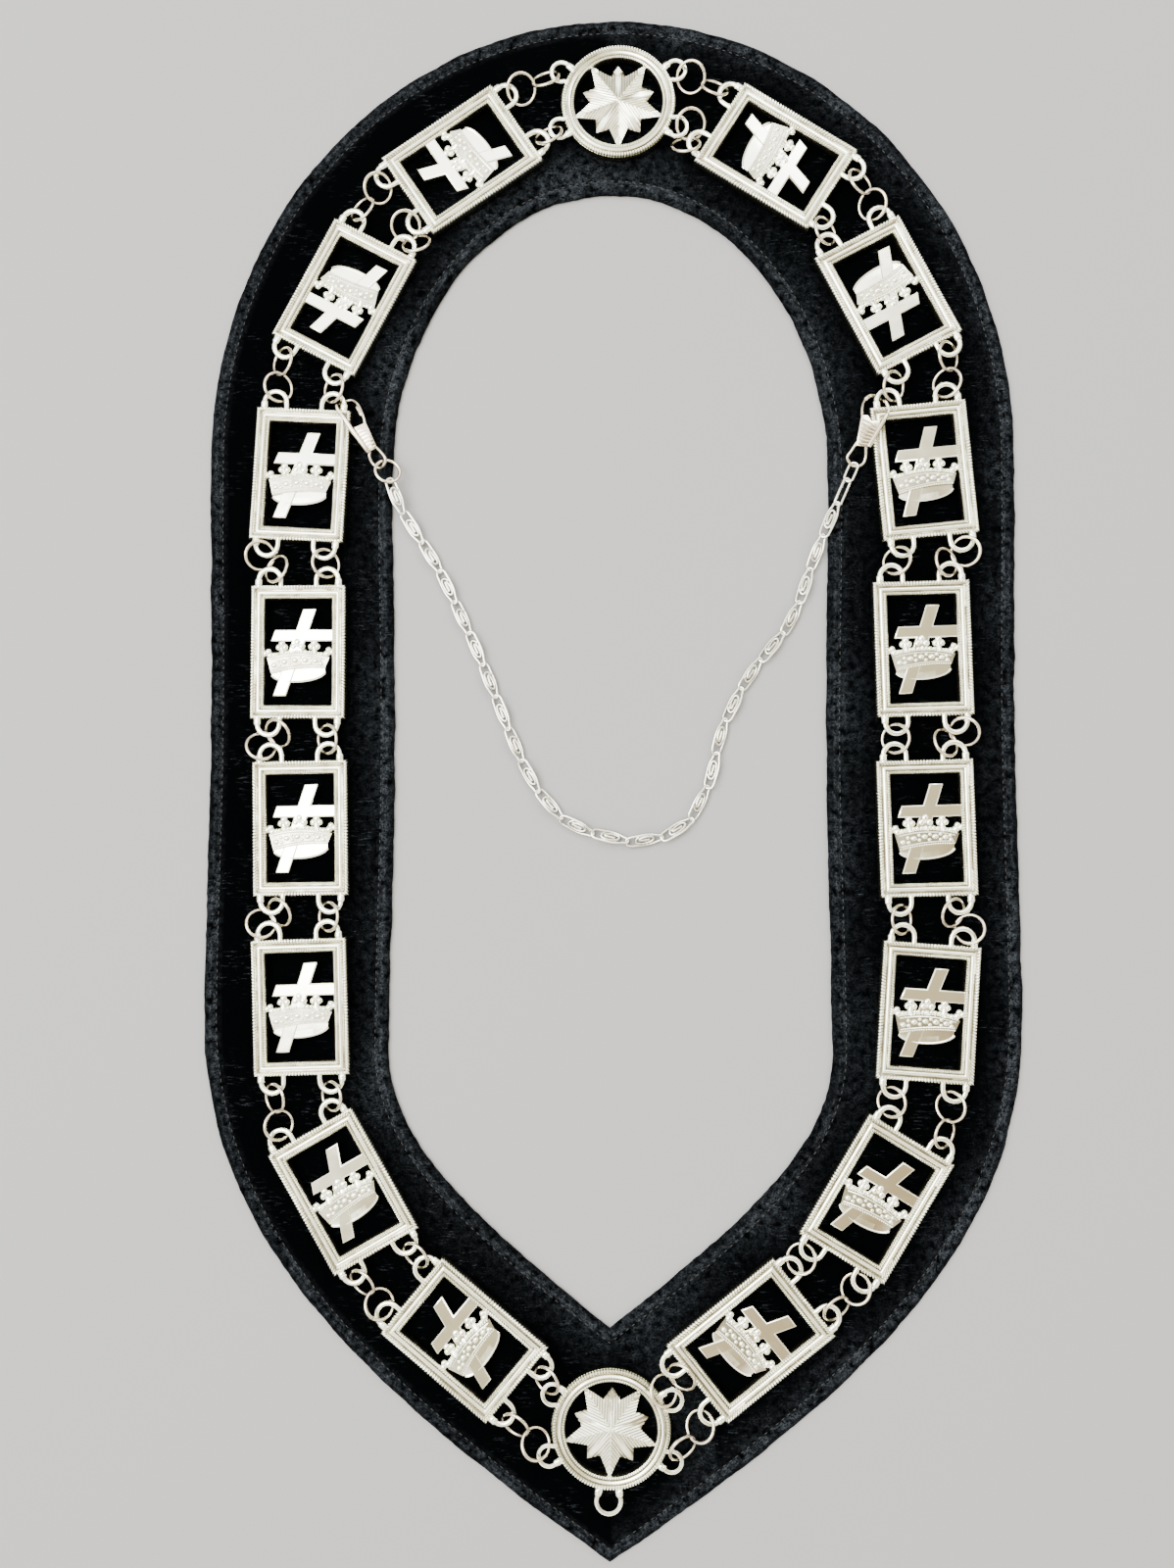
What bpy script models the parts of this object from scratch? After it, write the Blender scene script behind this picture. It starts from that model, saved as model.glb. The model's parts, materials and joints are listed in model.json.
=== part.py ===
"""A chain collar lying flat on its back: a black velvet band with a pointed front, a double row of
jump rings that joins sixteen pierced plates and two star medallions, and a fine neck chain on two
snap clips that hangs across the opening. X runs to the right, Y to the top of the band, Z up.
The origin is in the middle of the footprint, on the surface that the band rests on."""

import math

import bmesh
import bpy
from mathutils import Matrix, Vector

MM = 0.001

# Velvet band. Both edges are a half ellipse at the top, a straight side and a curve to the point.
BAND_HEIGHT = 2.5 * MM
BAND_TOP_CHAMFER = 0.9 * MM
BAND_FOOT_CHAMFER = 0.4 * MM
OUTER_EDGE = dict(half_width=134.4 * MM, spring=107 * MM, crown=255 * MM, waist=1.1 * MM,
                  shoulder=-79 * MM, shoulder_pull=75 * MM, tip=-255 * MM, tip_pull=97 * MM,
                  tip_angle=34)
INNER_EDGE = dict(half_width=72.8 * MM, spring=100 * MM, crown=195 * MM, waist=1.4 * MM,
                  shoulder=-91 * MM, shoulder_pull=30 * MM, tip=-181 * MM, tip_pull=60 * MM,
                  tip_angle=38)
OUTER_STEPS = 10
INNER_STEPS = 8

# The plates stand this far off the cloth, on the jump rings that run under their ears.
METAL_BASE = BAND_HEIGHT + 0.9 * MM

# Plates and medallions: both have the same ribbed border, given as (inset, height) pairs.
PLATE_WIDTH = 31.75 * MM
PLATE_LENGTH = 44.7 * MM
MEDALLION_RADIUS = 19.05 * MM
BORDER = [(0, 0), (0, 3.3 * MM), (1.4 * MM, 3.3 * MM), (4.5 * MM, 2.9 * MM), (4.7 * MM, 0)]
BORDER_WIDTH = BORDER[-1][0]
MEDALLION_SIDES = 20

# Emblem of a plate, as outlines in millimetres with +Y towards the head of the cross. WINDOW is
# where its ends run into the border. Each outline has its own top and a foot STAGGER above the
# one before, so that no two of the fused solids are flush.
EMBLEM_FOOT = 0.5 * MM
STAGGER = 0.1 * MM
WINDOW = 11.8
CROWN = [(-WINDOW, 1.5), (-8.6, 0.1), (8.4, 0.1), (WINDOW, 1.5), (WINDOW, -1.0), (8.9, -7.4),
         (4.6, -9.7), (-5.5, -9.9), (-8.9, -7.9), (-WINDOW, -1.0)]
CROWN_TOP = 2.7 * MM
SHAFT = [(-8.3, -14.9), (-3.9, -14.9), (6.1, 14.4), (1.5, 14.4)]
CROSSBAR = [(-9.2, 3.5), (WINDOW, 3.5), (WINDOW, 7.4), (-7.8, 7.4)]
CROSS_TOP = 2.4 * MM
# Posts between the crown and the crossbar: (middle, half width).
POSTS = [(-5.6, 1.3), (-0.2, 2.1), (5.6, 1.3)]
POST_FOOT, POST_HEAD = -0.6, 4.1

# Ears: flat cast half loops that the jump rings go through.
EAR_OFFSET = 9.6 * MM
EAR_HALF_WIDTH = 3.7 * MM
EAR_FLAT = 0.55
EAR_ROOT = 0.7 * MM
EAR_REACH = 5.3 * MM
EAR_BAR = 1.6 * MM
EAR_THICKNESS = 1.1 * MM
EAR_MIDDLE = 2.65 * MM

# Round loops of the medallions, four for the jump rings and one below for a hanging jewel.
LOOP_RADIUS = 3.3 * MM
LOOP_SIDES = 7
LOOP_BAR = 1.3 * MM
LOOP_DISTANCE = 21.6 * MM
LOOP_ANGLES = (28, 152, 205, 335)
DROP_LOOP_RADIUS = 3.9 * MM
DROP_LOOP_SIDES = 8
DROP_LOOP_DISTANCE = 22.4 * MM
EYE_RADIUS = (EAR_HALF_WIDTH + LOOP_RADIUS) / 2

# Jump rings. The bar has three corners, each RING_CORNER from the middle of the wire.
RING_RADIUS = 4.8 * MM
RING_CORNER = 0.57 * MM
RING_ROLL = 38
RING_SIDES = 8
# Two rings in a gap wider than TAUT_SPAN lie in line and touch, OVERLAP less than two radii apart.
TAUT_SPAN = 8.5 * MM
OVERLAP = 0.8 * MM
# In a narrower gap they lie beside each other: at SLACK_SPAN as the first value of each pair says,
# and at FULL_SLACK or less as the second does.
SLACK_SPAN = 5.5 * MM
FULL_SLACK = 2.1 * MM
SLACK_START = (0, -0.3 * MM)
SLACK_OFFSET = (2.4 * MM, 3.3 * MM)
SLACK_ROLL = (30, 26)
SLACK_PITCH = (17, 26)

# Star of the medallions: (angle from the long point, radius, height), repeated five times.
STAR_POINTS = 5
STAR_OUTLINE = [(0, 15.6 * MM, 1.7 * MM), (19, 9.4 * MM, 1.4 * MM), (36, 12.4 * MM, 1.6 * MM),
                (53, 9.4 * MM, 1.4 * MM)]
STAR_TOP = 3.3 * MM

# Clips and neck chain
CLIP_WIRE = 0.8 * MM
CLIP_BODY = 1.6 * MM
CHAIN_DIAMETER = 3.2 * MM
CHAIN_SEGMENTS = 26
CURVE_STEPS = 20

SMOOTH_UP_TO = 35

# name, x, y, turn: where each plate lies, its turn being that of the top of its cross from +Y.
PLATES = [
    ("plate_left_1", -49.1, 205.2, 124),
    ("plate_left_2", -88.3, 158.7, 152),
    ("plate_left_3", -102.7, 98.8, -3),
    ("plate_left_4", -102.8, 39.6, 0),
    ("plate_left_5", -101.5, -18.6, 1),
    ("plate_left_6", -101.0, -77.0, 2),
    ("plate_left_7", -86.4, -136.3, 30),
    ("plate_left_8", -46.8, -183.2, 50.5),
    ("plate_right_1", 55.6, 204.8, -122.5),
    ("plate_right_2", 92.2, 157.3, -152.5),
    ("plate_right_3", 103.4, 98.7, 5.2),
    ("plate_right_4", 102.4, 39.9, 1.5),
    ("plate_right_5", 102.9, -18.6, 1.5),
    ("plate_right_6", 102.7, -78.0, -4),
    ("plate_right_7", 85.5, -137.3, -31),
    ("plate_right_8", 45.0, -182.3, -51),
]
MEDALLIONS = [
    ("medallion_top", 3.2, 224.3, 0),
    ("medallion_bottom", 0.7, -210.7, -2),
]
CHAIN_ORDER = {
    "left": ["medallion_top"] + [f"plate_left_{i}" for i in range(1, 9)] + ["medallion_bottom"],
    "right": ["medallion_top"] + [f"plate_right_{i}" for i in range(1, 9)] + ["medallion_bottom"],
}
# Jump rings in each gap from the top to the bottom of the collar, as (outer row, inner row).
RING_COUNTS = {
    "left": [(2, 1), (2, 2), (2, 1), (2, 1), (2, 1), (2, 1), (2, 1), (2, 1), (2, 1)],
    "right": [(2, 2), (2, 1), (2, 1), (2, 1), (2, 1), (2, 1), (2, 1), (2, 1), (2, 2)],
}
LEANING_BACK = {("left", 2), ("left", 4), ("right", 2), ("right", 3), ("right", 6)}
# Runs that lie off their middle, as (along, across), to leave room for a clip or a rim.
RUN_SHIFTS = {"rings_left_3_inner": (0, -0.15 * MM), "rings_right_3_inner": (0, 0.4 * MM),
              "rings_right_9_inner": (0.45 * MM, 0)}

# Route of the neck chain from the left ring to the right clip, as x, y and height of its middle.
CHAIN_ROUTE = [
    (-72.5, 94.8, 4.9), (-70.3, 90.2, 4.5), (-66.5, 83.0, 2.3), (-58.0, 69.5, 1.7),
    (-50.0, 53.5, 1.7), (-41.5, 34.5, 1.7), (-32.5, 12.0, 1.7), (-24.5, -4.5, 1.7),
    (-13.5, -16.5, 1.7), (0.0, -21.5, 1.7), (12.0, -22.5, 1.7), (25.0, -17.0, 1.7),
    (33.0, -3.0, 1.7), (37.5, 14.0, 1.7), (46.0, 31.0, 1.7), (60.0, 50.0, 1.7),
    (67.3, 69.0, 2.4), (70.4, 77.0, 4.2), (72.8, 83.0, 4.7), (75.8, 90.0, 4.9),
    (79.3, 98.0, 5.0),
]

# Each clip in millimetres: outline of its wedge-shaped body as x and y, the height of the body's
# middle and its rise for each millimetre of y, and the routes of its wires as x, y and height.
CLIPS = {
    "clip_left": dict(
        body=[(-85.0, 114.3), (-80.8, 116.6), (-77.2, 107.8), (-79.8, 106.1)],
        height=5.6, rise=0.2,
        hook=[(-83.6, 113.2, 6.2), (-85.4, 114.6, 7.4), (-87.7, 117.1, 7.5), (-89.7, 119.7, 7.5),
              (-90.4, 121.3, 7.2), (-90.4, 122.5, 5.2), (-89.3, 123.4, 4.3), (-87.4, 124.1, 4.3),
              (-85.6, 124.1, 4.6), (-83.6, 122.4, 5.3), (-82.2, 119.6, 6.0), (-81.9, 115.0, 6.4)],
        eye=[(-79.2, 107.8, 4.7), (-79.6, 105.2, 4.4), (-79.0, 103.2, 3.8), (-77.3, 101.6, 3.6),
             (-75.7, 101.6, 4.3), (-74.2, 103.6, 5.8), (-75.6, 106.0, 5.7), (-77.9, 108.3, 5.0)]),
    "clip_right": dict(
        body=[(83.3, 116.5), (86.9, 115.4), (89.0, 113.0), (84.7, 105.8), (80.9, 106.3)],
        height=7.9, rise=0.05,
        hook=[(87.2, 112.6, 8.0), (89.9, 114.9, 7.8), (91.6, 118.0, 7.5), (91.1, 120.1, 7.5),
              (90.4, 121.2, 7.3), (90.1, 122.0, 5.2), (89.5, 123.2, 4.4), (87.6, 124.3, 4.3),
              (85.6, 123.6, 4.8), (83.9, 121.6, 5.8), (83.4, 119.0, 7.0), (84.2, 115.2, 8.1)],
        eye=[(82.0, 107.6, 7.7), (79.2, 104.9, 6.9), (78.1, 102.8, 6.2), (80.2, 100.3, 5.5),
             (83.0, 100.7, 5.5), (84.2, 102.9, 6.1), (83.8, 107.3, 7.7)]),
}
END_RING = dict(middle=(-73.6, 100.1, 4.9), along=(-0.64, 0.77, 0), radius=4.2 * MM, roll=24)


def clear_scene():
    for old in list(bpy.data.objects):
        bpy.data.objects.remove(old, do_unlink=True)


def make_material(name, colour, roughness, metallic):
    material = bpy.data.materials.new(name)
    material.use_nodes = True
    material.diffuse_color = (*colour, 1)
    shader = material.node_tree.nodes["Principled BSDF"]
    shader.inputs["Base Color"].default_value = (*colour, 1)
    shader.inputs["Roughness"].default_value = roughness
    shader.inputs["Metallic"].default_value = metallic
    return material


def mesh_from(name, bm):
    bmesh.ops.recalc_face_normals(bm, faces=bm.faces)
    mesh = bpy.data.meshes.new(name)
    bm.to_mesh(mesh)
    bm.free()
    return mesh


def place(name, mesh, material, matrix=Matrix.Identity(4)):
    """Puts a mesh in the scene as one named piece."""
    mesh.materials.clear()
    mesh.materials.append(material)
    mesh.shade_smooth()
    mesh.set_sharp_from_angle(angle=math.radians(SMOOTH_UP_TO))
    piece = bpy.data.objects.new(name, mesh)
    piece.matrix_world = matrix
    bpy.context.scene.collection.objects.link(piece)
    return piece


def skin(loops, closed):
    """Joins successive loops of equal length with quads; an open run gets a cap at each end."""
    bm = bmesh.new()
    rows = [[bm.verts.new(point) for point in loop] for loop in loops]
    pairs = list(zip(rows, rows[1:]))
    if closed:
        pairs.append((rows[-1], rows[0]))
    for row, after in pairs:
        count = len(row)
        for i in range(count):
            j = (i + 1) % count
            bm.faces.new((row[i], row[j], after[j], after[i]))
    if not closed:
        bm.faces.new(rows[0])
        bm.faces.new(reversed(rows[-1]))
    return bm


def wire(path, corner, up, closed=False):
    """A bar of three-cornered section along a path, with one corner along up."""
    points = [Vector(p) for p in path]
    count = len(points)
    loops = []
    for i, point in enumerate(points):
        before = points[i - 1] if closed or i else point
        after = points[(i + 1) % count] if closed or i < count - 1 else point
        forward = (after - before).normalized()
        side = forward.cross(up).normalized()
        lift = side.cross(forward).normalized()
        corners = [math.radians(angle) for angle in (90, 210, 330)]
        loops.append([point + (side * math.cos(a) + lift * math.sin(a)) * corner
                      for a in corners])
    return skin(loops, closed)


def sweep(path, width, thickness, up, closed=False):
    """A bar of rectangular section along a path, its thickness measured along up."""
    points = [Vector(p) for p in path]
    count = len(points)
    loops = []
    for i, point in enumerate(points):
        before = points[i - 1] if closed or i else point
        after = points[(i + 1) % count] if closed or i < count - 1 else point
        forward = (after - before).normalized()
        side = forward.cross(up).normalized() * width / 2
        lift = side.cross(forward).normalized() * thickness / 2
        loops.append([point + side + lift, point - side + lift, point - side - lift,
                      point + side - lift])
    return skin(loops, closed)


def prism(outline, foot, top):
    """An upright solid on a flat outline of (x, y) points."""
    bm = bmesh.new()
    face = bm.faces.new([bm.verts.new((x, y, foot)) for x, y in outline])
    grown = bmesh.ops.extrude_face_region(bm, geom=[face])["geom"]
    raised = [item for item in grown if isinstance(item, bmesh.types.BMVert)]
    bmesh.ops.translate(bm, verts=raised, vec=(0, 0, top - foot))
    return bm


def fused(name, solids):
    """One closed mesh out of solids that run into each other."""
    helpers = []
    for solid in solids:
        helper = bpy.data.objects.new("helper", mesh_from("helper", solid))
        bpy.context.scene.collection.objects.link(helper)
        helpers.append(helper)
    for other in helpers[1:]:
        union = helpers[0].modifiers.new("union", "BOOLEAN")
        union.operation = "UNION"
        union.solver = "EXACT"
        union.object = other
    bpy.context.view_layer.update()
    graph = bpy.context.evaluated_depsgraph_get()
    mesh = bpy.data.meshes.new_from_object(helpers[0].evaluated_get(graph))
    mesh.name = name
    for helper in helpers:
        bpy.data.objects.remove(helper, do_unlink=True)
    return mesh


# ---------------------------------------------------------------- velvet band

def bezier(start, pull_start, pull_end, end, steps):
    points = []
    for i in range(1, steps + 1):
        t = i / steps
        a, b, c, d = (1 - t) ** 3, 3 * t * (1 - t) ** 2, 3 * t * t * (1 - t), t ** 3
        points.append((a * start[0] + b * pull_start[0] + c * pull_end[0] + d * end[0],
                       a * start[1] + b * pull_start[1] + c * pull_end[1] + d * end[1]))
    return points


def band_edge(half_width, spring, crown, waist, shoulder, shoulder_pull, tip, tip_pull, tip_angle,
              steps):
    """One closed edge of the band, from the top round the right side to the point and back."""
    right = []
    for i in range(1, steps + 1):
        angle = math.radians(90 - 90 * i / steps)
        right.append((half_width * math.cos(angle),
                      spring + (crown - spring) * math.sin(angle)))
    straight = steps // 2
    for i in range(1, straight):
        t = i / straight
        right.append((half_width - waist * math.sin(math.pi * t) ** 2,
                      spring + (shoulder - spring) * t))
    right.append((half_width, shoulder))
    rise = math.radians(tip_angle)
    right += bezier((half_width, shoulder), (half_width, shoulder - shoulder_pull),
                    (tip_pull * math.cos(rise), tip + tip_pull * math.sin(rise)), (0, tip), steps)
    left = [(-x, y) for x, y in reversed(right[:-1])]
    return [(0, crown)] + right + left


def inset(outline, distance):
    """The outline moved towards its own inside; points run clockwise."""
    moved = []
    count = len(outline)
    for i, here in enumerate(outline):
        before = Vector(outline[i - 1])
        after = Vector(outline[(i + 1) % count])
        into = (Vector(here) - before).normalized()
        out = (after - Vector(here)).normalized()
        normal = Vector((into.y + out.y, -into.x - out.x)).normalized()
        stretch = 1 / max(0.5, normal.dot(Vector((out.y, -out.x))))
        moved.append(tuple(Vector(here) + normal * distance * stretch))
    return moved


def band_bmesh():
    outer = band_edge(**OUTER_EDGE, steps=OUTER_STEPS)
    inner = band_edge(**INNER_EDGE, steps=INNER_STEPS)
    rims = []
    for outline, inward in ((outer, 1), (inner, -1)):
        rims.append([
            [(x, y, 0) for x, y in inset(outline, inward * BAND_FOOT_CHAMFER)],
            [(x, y, BAND_FOOT_CHAMFER) for x, y in outline],
            [(x, y, BAND_HEIGHT - BAND_TOP_CHAMFER) for x, y in outline],
            [(x, y, BAND_HEIGHT) for x, y in inset(outline, inward * BAND_TOP_CHAMFER)],
        ])
    bm = bmesh.new()
    open_edges = {0: [], 3: []}
    for rim in rims:
        rows = [[bm.verts.new(point) for point in loop] for loop in rim]
        count = len(rows[0])
        for row, after in zip(rows, rows[1:]):
            for i in range(count):
                j = (i + 1) % count
                bm.faces.new((row[i], row[j], after[j], after[i]))
        for level in open_edges:
            row = rows[level]
            open_edges[level] += [bm.edges.get((row[i], row[(i + 1) % count]))
                                  for i in range(count)]
    for edges in open_edges.values():
        bmesh.ops.triangle_fill(bm, edges=edges, use_beauty=True)
    return bm


# ---------------------------------------------------------------- plates and medallions

def ear(x, y, outward):
    """A half loop standing out of a plate's short side at (x, y), towards +Y or -Y."""
    flat = EAR_FLAT * EAR_HALF_WIDTH
    shape = [(-EAR_HALF_WIDTH, -EAR_ROOT), (-flat, EAR_REACH), (flat, EAR_REACH),
             (EAR_HALF_WIDTH, -EAR_ROOT)]
    path = [(x + across, y + outward * reach, EAR_MIDDLE) for across, reach in shape]
    return sweep(path, EAR_BAR, EAR_THICKNESS, Vector((0, 0, 1)))


def plate_border():
    loops = []
    for step, height in BORDER:
        half_x, half_y = PLATE_WIDTH / 2 - step, PLATE_LENGTH / 2 - step
        loops.append([(half_x, half_y, height), (-half_x, half_y, height),
                      (-half_x, -half_y, height), (half_x, -half_y, height)])
    return skin(loops, closed=True)


def emblem():
    """The leaning cross, the crown round its shaft, and the three posts between the two."""
    solids = []
    shapes = [(CROWN, CROWN_TOP), (SHAFT, CROSS_TOP), (CROSSBAR, CROSS_TOP - STAGGER)]
    for middle, half in POSTS:
        post = [(middle - half, POST_FOOT), (middle + half, POST_FOOT),
                (middle + half, POST_HEAD), (middle - half, POST_HEAD)]
        shapes.append((post, CROSS_TOP - 2 * STAGGER))
    for order, (outline, top) in enumerate(shapes):
        foot = EMBLEM_FOOT + min(order, 3) * STAGGER
        solids.append(prism([(x * MM, y * MM) for x, y in outline], foot, top))
    return solids


def plate_mesh():
    solids = [plate_border()] + emblem()
    for x in (-EAR_OFFSET, EAR_OFFSET):
        for outward in (1, -1):
            solids.append(ear(x, outward * PLATE_LENGTH / 2, outward))
    return fused("plate", solids)


def around(radius, count, height=0.0, start=0.0):
    return [(radius * math.cos(start + math.tau * i / count),
             radius * math.sin(start + math.tau * i / count), height) for i in range(count)]


def star():
    """A low five-pointed star, one long point down, with a short point in each corner."""
    bm = bmesh.new()
    rim = []
    for k in range(STAR_POINTS):
        for angle, radius, height in STAR_OUTLINE:
            turn = math.radians(-90 + 360 / STAR_POINTS * k + angle)
            rim.append((radius * math.cos(turn), radius * math.sin(turn), height))
    top = bm.verts.new((0, 0, STAR_TOP))
    upper = [bm.verts.new(point) for point in rim]
    lower = [bm.verts.new((x, y, EMBLEM_FOOT)) for x, y, _ in rim]
    for i in range(len(rim)):
        j = (i + 1) % len(rim)
        bm.faces.new((top, upper[i], upper[j]))
        bm.faces.new((upper[i], lower[i], lower[j], upper[j]))
    bm.faces.new(reversed(lower))
    return bm


def medallion_loop(angle, distance=LOOP_DISTANCE, radius=LOOP_RADIUS, sides=LOOP_SIDES, start=0):
    middle = Vector((math.cos(angle), math.sin(angle), 0)) * distance
    path = [middle + Vector(p) + Vector((0, 0, EAR_MIDDLE))
            for p in around(radius, sides, start=angle + start)]
    return sweep(path, LOOP_BAR, EAR_THICKNESS, Vector((0, 0, 1)), closed=True)


def medallion_mesh(name, with_drop_loop):
    border = [around(MEDALLION_RADIUS - step, MEDALLION_SIDES, height) for step, height in BORDER]
    solids = [skin(border, closed=True), star()]
    for angle in LOOP_ANGLES:
        solids.append(medallion_loop(math.radians(angle)))
    if with_drop_loop:
        solids.append(medallion_loop(math.radians(-90), DROP_LOOP_DISTANCE, DROP_LOOP_RADIUS,
                                     DROP_LOOP_SIDES, math.pi / DROP_LOOP_SIDES))
    return fused(name, solids)


# ---------------------------------------------------------------- jump rings

def upright_turn(x, y, turn):
    return Matrix.Translation((x * MM, y * MM, METAL_BASE)) @ Matrix.Rotation(
        math.radians(turn), 4, "Z")


def eyes():
    """The middle of the round part of every ear and loop, in the world, for each piece."""
    found = {}
    reach = PLATE_LENGTH / 2 + EAR_REACH - EAR_HALF_WIDTH
    for name, x, y, turn in PLATES:
        matrix = upright_turn(x, y, turn)
        found[name] = [matrix @ Vector((sx * EAR_OFFSET, sy * reach, EAR_MIDDLE))
                       for sx in (-1, 1) for sy in (-1, 1)]
    for name, x, y, turn in MEDALLIONS:
        matrix = upright_turn(x, y, turn)
        found[name] = [matrix @ Vector((LOOP_DISTANCE * math.cos(math.radians(angle)),
                                        LOOP_DISTANCE * math.sin(math.radians(angle)),
                                        EAR_MIDDLE)) for angle in LOOP_ANGLES]
    return found


def rows_between(found, first, second, side):
    """The outer and the inner pair of eyes that face each other across one gap."""
    sign = 1 if side == "right" else -1
    middle = {name: sum(found[name], Vector()) / 4 for name in (first, second)}
    pairs = []
    for name, other in ((first, second), (second, first)):
        facing = found[name]
        if name.startswith("medallion"):
            facing = [eye for eye in facing if (eye.x - middle[name].x) * sign > 0]
        facing = sorted(facing, key=lambda eye: (eye - middle[other]).length)[:2]
        pairs.append(sorted(facing, key=lambda eye: -eye.xy.length))
    return list(zip(*pairs))


def ring_places(span, count, lean):
    """Where the rings of a run lie: (way along the span, offset, roll, pitch) for each.

    A run that is nearly taut is straight. The rings of a slack run lie beside each other."""
    if count == 1:
        return [(span / 2, 0, lean * RING_ROLL, 0)]
    if span > TAUT_SPAN:
        spacing = 2 * RING_RADIUS - OVERLAP
        start = (span - spacing) / 2
        return [(start, 0, lean * RING_ROLL, 0), (start + spacing, 0, -lean * RING_ROLL, 0)]
    slack = min(1, max(0, (SLACK_SPAN - span) / (SLACK_SPAN - FULL_SLACK)))
    start, offset, roll, pitch = [
        tight + (loose - tight) * slack
        for tight, loose in (SLACK_START, SLACK_OFFSET, SLACK_ROLL, SLACK_PITCH)]
    return [(start, lean * offset, lean * roll, -pitch),
            (span - start, -lean * offset, -lean * roll, pitch)]


def ring(middle, along, roll, pitch, radius=RING_RADIUS):
    """A jump ring round middle, rolled about the run's direction and pitched along it."""
    forward = Vector((along.x, along.y, 0)).normalized()
    basis = Matrix((forward, Vector((0, 0, 1)).cross(forward), Vector((0, 0, 1)))).transposed()
    turned = basis @ Matrix.Rotation(math.radians(roll), 3, "X") @ Matrix.Rotation(
        math.radians(-pitch), 3, "Y")
    normal = turned @ Vector((0, 0, 1))
    path = [middle + turned @ Vector(p)
            for p in around(radius, RING_SIDES, start=math.pi / RING_SIDES)]
    return wire(path, RING_CORNER, normal, closed=True)


def ring_runs(material):
    found = eyes()
    for side, order in CHAIN_ORDER.items():
        for gap, (first, second) in enumerate(zip(order, order[1:])):
            rows = zip(("outer", "inner"), rows_between(found, first, second, side),
                       RING_COUNTS[side][gap])
            lean = -1 if (side, gap + 1) in LEANING_BACK else 1
            for row, (start, end), count in rows:
                name = f"rings_{side}_{gap + 1}_{row}"
                forward = (end - start).normalized()
                left = Vector((0, 0, 1)).cross(forward)
                along, across = RUN_SHIFTS.get(name, (0, 0))
                edge = start + forward * (EYE_RADIUS + along) + left * across
                span = (end - start).length - 2 * EYE_RADIUS
                solids = [ring(edge + forward * way + left * offset, forward, roll, pitch)
                          for way, offset, roll, pitch in ring_places(span, count, lean)]
                place(name, fused(name, solids), material)


# ---------------------------------------------------------------- clips and neck chain

def clip(name, body, height, rise, hook, eye, material):
    """A snap clip: a flattened wedge with a wire hook at one end and a wire eye at the other."""
    middle = sum(y for _, y in body) / len(body)
    wedge = prism([(x * MM, y * MM) for x, y in body], -CLIP_BODY / 2, CLIP_BODY / 2)
    for corner in wedge.verts:
        corner.co.z += height * MM + rise * (corner.co.y - middle * MM)
    wires = [sweep([Vector(p) * MM for p in route], CLIP_WIRE, CLIP_WIRE, Vector((0, 0, 1)))
             for route in (hook, eye)]
    place(name, fused(name, [wedge] + wires), material)


def smooth_route(points, samples):
    """Evenly spaced points on a Catmull-Rom curve through the given ones."""
    knots = [points[0]] + points + [points[-1]]
    fine = []
    for i in range(1, len(knots) - 2):
        a, b, c, d = knots[i - 1:i + 3]
        for step in range(CURVE_STEPS):
            t = step / CURVE_STEPS
            fine.append(0.5 * (2 * b + (c - a) * t + (2 * a - 5 * b + 4 * c - d) * t * t
                               + (3 * b - 3 * c + d - a) * t ** 3))
    fine.append(knots[-1])
    travelled = [0.0]
    for before, after in zip(fine, fine[1:]):
        travelled.append(travelled[-1] + (after - before).length)
    even = []
    for k in range(samples + 1):
        target = travelled[-1] * k / samples
        i = max(j for j, so_far in enumerate(travelled) if so_far <= target + 1e-12)
        if i == len(fine) - 1:
            even.append(fine[-1])
            continue
        share = (target - travelled[i]) / (travelled[i + 1] - travelled[i])
        even.append(fine[i].lerp(fine[i + 1], share))
    return even


def neck_chain(material):
    """The fine chain as one tube along its true route, lying in the opening of the band."""
    route = smooth_route([Vector(p) * MM for p in CHAIN_ROUTE], CHAIN_SEGMENTS)
    curve = bpy.data.curves.new("neck_chain", "CURVE")
    curve.dimensions = "3D"
    curve.bevel_depth = CHAIN_DIAMETER / 2
    curve.bevel_resolution = 2
    curve.use_fill_caps = True
    spline = curve.splines.new("POLY")
    spline.points.add(len(route) - 1)
    for knot, point in zip(spline.points, route):
        knot.co = (*point, 1)
    curve.materials.append(material)
    bpy.context.scene.collection.objects.link(bpy.data.objects.new("neck_chain", curve))


def main():
    clear_scene()
    velvet = make_material("black_velvet", (0.006, 0.007, 0.009), 0.9, 0.0)
    nickel = make_material("bright_nickel", (0.82, 0.79, 0.72), 0.22, 1.0)
    wire_metal = make_material("ring_wire", (0.84, 0.82, 0.77), 0.16, 1.0)
    chain = make_material("chain_silver", (0.78, 0.77, 0.75), 0.2, 1.0)

    place("velvet_band", mesh_from("velvet_band", band_bmesh()), velvet)
    shared = plate_mesh()
    for name, x, y, turn in PLATES:
        place(name, shared, nickel, upright_turn(x, y, turn))
    for name, x, y, turn in MEDALLIONS:
        place(name, medallion_mesh(name, name == "medallion_bottom"), nickel,
              upright_turn(x, y, turn))
    ring_runs(wire_metal)
    for name, shape in CLIPS.items():
        clip(name, **shape, material=wire_metal)
    end = ring(Vector(END_RING["middle"]) * MM, Vector(END_RING["along"]), END_RING["roll"], 0,
               END_RING["radius"])
    place("end_ring", mesh_from("end_ring", end), wire_metal)
    neck_chain(chain)


main()
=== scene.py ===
import json
import math

import bmesh
import bpy
from bmesh.types import BMEdge, BMFace, BMVert
from mathutils import Matrix, Vector, noise

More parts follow.
